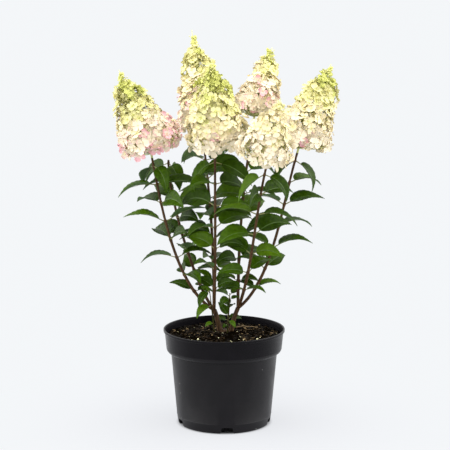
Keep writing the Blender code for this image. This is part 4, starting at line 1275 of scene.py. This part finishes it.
def add_petal(bm, tone, place, turn, length, width, cup, fine):
    """One rounded petal, cupped along and across, with another tone at its base."""
    points, faces = add(bm, sheet_pattern(*((4, 5) if fine else (2, 3))), tone)
    if fine and tone in BASE_TONES:
        base_tone, base_share = BASE_TONES[tone]
        for face in faces:
            if face.calc_center_median().x < base_share:
                face.material_index = base_tone
    for point in points:
        share, across = point.co.x, point.co.y
        sides = across * across * share
        round_end = max(PETAL_END, (max(share, 0.001) / PETAL_WIDEST) ** 0.75
                        * (max(0.0, 1.0 - share) / (1.0 - PETAL_WIDEST)) ** 0.42)
        half = width * min(1.0, round_end)
        along = PETAL_ROOT + (1.0 - PETAL_ROOT) * share
        along *= length * (1.0 - PETAL_NOTCH * sides)
        height = length * (cup * share ** PETAL_BEND + PETAL_ARCH * sides)
        point.co = place + turn @ Vector((along, across * half, height))


def add_floret(bm, rng, tone, place, outward, size, cup, fine=True):
    """Four petals round one middle, each with its own tilt."""
    facing = outward.to_track_quat("Z", "Y").to_matrix()
    spin = rng.uniform(0.0, math.pi / 2)
    for k in range(4):
        faded = tone in PALER and rng.random() < PETAL_FADE
        length = size * rng.uniform(*PETAL_LENGTHS)
        turn = spin + k * math.pi / 2 + rng.uniform(-PETAL_TURN, PETAL_TURN)
        width = length * rng.uniform(*PETAL_WIDTHS)
        own_cup = cup + rng.uniform(*PETAL_CUPS)
        roll = rng.uniform(-PETAL_ROLL, PETAL_ROLL)
        frame_turn = facing @ Matrix.Rotation(turn, 3, "Z") @ Matrix.Rotation(roll, 3, "X")
        add_petal(bm, PALER[tone] if faded else tone, place, frame_turn, length, width,
                  own_cup, fine)


def blossom_points(cane, spacing, rng, inset=0.0):
    """Places and facings spread evenly over the cone, in a golden spiral from its foot."""
    axis, across, along = cone_frame(cane)
    height, upright = axis.length, axis.normalized()
    count = round(2.0 * math.pi * cane.girth * height * CONE_AREA / spacing ** 2)
    for k in range(count):
        part = (k + 0.5) / count
        share = CONE_START + (1.0 - CONE_START) * (1.0 - (1.0 - part) ** (1.0 / CONE_CROWDING))
        angle = GOLDEN_TURN * k
        radial = across * math.cos(angle) + along * math.sin(angle)
        slope = math.radians(DROOP_FOOT + DROOP_RISE * min(1.0, share / DROOP_END)
                             + DROOP_TIP * share)
        outward = radial * math.cos(slope) + upright * math.sin(slope)
        outward = (outward + FLORET_TILT * stray(rng)).normalized()
        above = max(0.0, share - BUD_LINE)
        spire = above / (1.0 - BUD_LINE)
        reach = cane.girth * cone_share(share) * (1.0 - SPIRE_WAIST * spire)
        reach -= SEPAL_SEAT * SEPAL * (1.0 - spire) + inset
        surface = cane.foot + axis * (share - SPIRE_SINK * above) + radial * reach
        clump = noise.noise(surface / CLUMP_SIZE)
        place = (surface + upright * rng.uniform(*FLORET_JITTER)
                 + radial * (max(clump * CLUMP_RELIEF, -reach) - rng.uniform(*FLORET_SINK)))
        yield share, place, outward, clump


def add_bud_cluster(bm, rng, tone, place, outward, share):
    """A few round buds and half-open florets on one short branch of the spire."""
    spire = (share - BUD_LINE) / (1.0 - BUD_LINE)
    for _ in range(CLUSTER):
        offset = stray(rng) * (CLUSTER_SPREAD - CLUSTER_FALL * spire)
        if rng.random() < HALF_OPEN - HALF_OPEN_FALL * spire:
            size = rng.uniform(*HALF_OPEN_SIZES) * (1.05 - 0.45 * spire)
            facing = (outward + offset * HALF_OPEN_TURN).normalized()
            add_floret(bm, rng, tone, place + offset, facing, size, HALF_OPEN_CUP, fine=False)
        else:
            size = rng.uniform(*BEAD_SIZES)
            lump(bm, rng, place + offset, (size,) * 3, tone, 0.10)


def make_blossom(cane, stalks, buds):
    """One cone: its florets, the branching stalks under them and the small buds between."""
    rng = random.Random(50 + cane.number)
    axis = cane.tip - cane.foot
    bm = bmesh.new()
    for share, place, outward, clump in blossom_points(cane, FLORET_SPACING, rng):
        if clump < GAP_LEVEL:
            continue
        low = cane.foot + axis * max(0.0, share - BRANCH_DROP)
        bend = low.lerp(place, 0.55) - axis.normalized() * 0.002
        path = [low, bend, place - outward * 0.001]
        sweep(stalks, path, lambda i, a: BRANCH_RADIUS - BRANCH_TAPER * i, BRANCH_SIDES)
        tone = petal_tone(TINTS[cane.number], share, rng)
        if share > BUD_LINE:
            add_bud_cluster(bm, rng, tone, place, outward, share)
        else:
            size = SEPAL * rng.uniform(*SEPAL_SIZES) * (1.08 - 0.24 * share)
            add_floret(bm, rng, tone, place, outward, size, rng.uniform(*FLORET_CUPS))
            lump(buds, rng, place + outward * EYE, (EYE,) * 3, 1, 0.1)
    for _, place, _, _ in blossom_points(cane, BUD_SPACING, rng, BUD_INSET):
        for _ in range(BUDS_TOGETHER):
            offset = stray(rng) * BUD_SPREAD
            size = rng.uniform(*BUD_SIZES)
            lump(buds, rng, place + offset, (size,) * 3, 0, 0.12)
    finished(f"blossom_petals_{cane.number}", bm, [f"petal_{tone}" for tone in TONE_NAMES],
             "petal", f"blossom_{cane.number}")


def make_blossoms():
    """Every cone of petals, and all their stalks and small buds as two more pieces."""
    stalks, buds = bmesh.new(), bmesh.new()
    for cane in CANES:
        if cane.tip:
            make_blossom(cane, stalks, buds)
            path = [cane.top] + [cane.foot.lerp(cane.tip, i / 6) for i in range(1, 7)]
            sweep(stalks, path, lambda i, a: CANE_TIP_RADIUS * (1.0 - STALK_TAPER * i),
                  STALK_SIDES)
    finished("blossom_stalks", stalks, ("stalk_green",), "petal")
    finished("blossom_buds", buds, ("bud_olive", "floret_eye"), "petal")


# ------------------------------------------------------------------ stage, light, camera

BACKDROP = (0.905, 0.925, 0.945)
SURROUND = 1.44         # strength of the white surround
# Its shape by the parts of a direction, from -1 to 1: those from left to right and from
# down to up are added, and the one from front to back multiplies them
SIDE_LIGHT = ((-1.0, 2.8), (-0.60, 0.62), (0.0, 0.17), (0.60, 0.62), (1.0, 2.8))
TOP_LIGHT = ((-1.0, 0.2), (0.0, 0.26), (0.35, 0.48), (0.75, 0.85), (1.0, 1.3))
DEPTH_LIGHT = ((-1.0, 1.0), (0.3, 1.0), (1.0, 0.9))
KEY_LIGHT = 0.62
KEY_SPREAD = 75.0       # degrees across the soft key light
KEY_AZIMUTH = -105.0    # degrees from +X
KEY_LEAN = 50.0         # degrees from straight above
FLOOR_RADIUS = 20.0
FLOOR_SHADE_FADE = (0.11, 0.50)   # metres from the middle in which the floor's dimmer glow near the pot, a painted shade, turns into the backdrop
PAINTED_CONTACT_SHADOW = (0.080, 0.095)    # where the painted contact shadow under the pot's foot ends
# Near the pot the floor glows less than the backdrop, as painted shade, and its glow keeps the
# shadows cast on it faint, as painted light
FLOOR_COLOUR = (0.130, 0.132, 0.136)
FLOOR_GLOW = (0.622, 0.632, 0.655)
BLACK = (0.0, 0.0, 0.0)
CAMERA_PLACE = (0.0017, -2.803, 0.837)
CAMERA_PITCH = 0.1605   # radians below level
CAMERA_LENS = 120.0     # millimetres, on a 36 mm sensor


def make_stage():
    """A pale floor that fades into the backdrop, so that no edge shows.
    Near the pot it glows less than the backdrop, as painted shade, and under the pot's foot
    not at all, as a painted contact shadow.
    """
    bm = bmesh.new()
    bmesh.ops.create_circle(bm, cap_ends=True, segments=64, radius=FLOOR_RADIUS)
    floor = placed("floor", mesh_from("floor", bm))
    finish = Finish("studio_floor", 0.0, 0.9)
    place = wired(finish.tree, "ShaderNodeTexCoord").outputs["Object"]
    radius = wired(finish.tree, "ShaderNodeVectorMath", {0: place},
                   operation="LENGTH").outputs["Value"]
    far, near = (wired(finish.tree, "ShaderNodeMapRange",
                       {"Value": radius, "From Min": start, "From Max": end},
                       interpolation_type="SMOOTHSTEP").outputs[0]
                 for start, end in (FLOOR_SHADE_FADE, PAINTED_CONTACT_SHADOW))
    finish.feed("Base Color", finish.blend(far, FLOOR_COLOUR, BLACK))
    # no glow under the pot's foot: a painted contact shadow
    glow = finish.blend(near, BLACK, FLOOR_GLOW)
    # the floor's dimmer glow near the pot, a painted shade, turns into the backdrop's glow
    finish.feed("Emission Color", finish.blend(far, glow, BACKDROP))
    finish.shader.inputs["Emission Strength"].default_value = 1.0
    floor.data.materials.append(finish.material)


def light_curve(tree, source, points):
    """A grey that follows one part of the direction, from -1 to 1, through its points."""
    ramp = wired(tree, "ShaderNodeValToRGB", {"Fac": ranged(tree, source, From_Min=-1.0)})
    elements = ramp.color_ramp.elements
    for _ in points[2:]:
        elements.new(0.5)
    for element, (where, value) in zip(elements, points):
        element.position = (where + 1.0) / 2.0
        element.color = (value, value, value, 1.0)
    return ramp.outputs["Color"]


def make_light():
    """An even white surround, brighter above and at both sides, and a soft key light."""
    world = bpy.data.worlds.new("studio")
    bpy.context.scene.world = world
    world.use_nodes = True
    tree, vector = world.node_tree, "ShaderNodeVectorMath"
    place = wired(tree, "ShaderNodeTexCoord").outputs["Generated"]
    part = wired(tree, "ShaderNodeSeparateXYZ", {0: place}).outputs
    sides, height, depth = (light_curve(tree, part[axis], points) for axis, points in
                            (("X", SIDE_LIGHT), ("Z", TOP_LIGHT), ("Y", DEPTH_LIGHT)))
    both = reckoned(tree, "ADD", sides, height, vector)
    glow = tree.nodes["Background"]
    tree.links.new(reckoned(tree, "MULTIPLY", both, depth, vector), glow.inputs["Color"])
    glow.inputs["Strength"].default_value = SURROUND
    backdrop = wired(tree, "ShaderNodeBackground", {"Color": BACKDROP})
    seen = wired(tree, "ShaderNodeLightPath").outputs["Is Camera Ray"]
    mix = wired(tree, "ShaderNodeMixShader",
                {"Fac": seen, 1: glow.outputs[0], 2: backdrop.outputs[0]})
    tree.links.new(mix.outputs[0], tree.nodes["World Output"].inputs["Surface"])
    sun = bpy.data.lights.new("key", "SUN")
    sun.energy = KEY_LIGHT
    sun.angle = math.radians(KEY_SPREAD)
    turn = leaning(KEY_AZIMUTH, KEY_LEAN).to_track_quat("Z", "Y")
    placed("key", sun).rotation_euler = turn.to_euler()


def make_camera():
    """A long lens that looks slightly down at the plant's front."""
    data = bpy.data.cameras.new("camera")
    data.lens = CAMERA_LENS
    data.sensor_width = 36.0
    camera = placed("camera", data)
    camera.location = CAMERA_PLACE
    camera.rotation_euler = (math.pi / 2 - CAMERA_PITCH, 0.0, 0.0)
    bpy.context.scene.camera = camera


# ------------------------------------------------------------------ the whole plant

bpy.context.scene.view_settings.view_transform = "Standard"
make_camera()
make_light()
make_stage()
make_pot()
make_litter(make_soil())
make_limbs()
grown = grow_leaves()
make_leaves(grown)
make_petioles(grown)
make_blossoms()
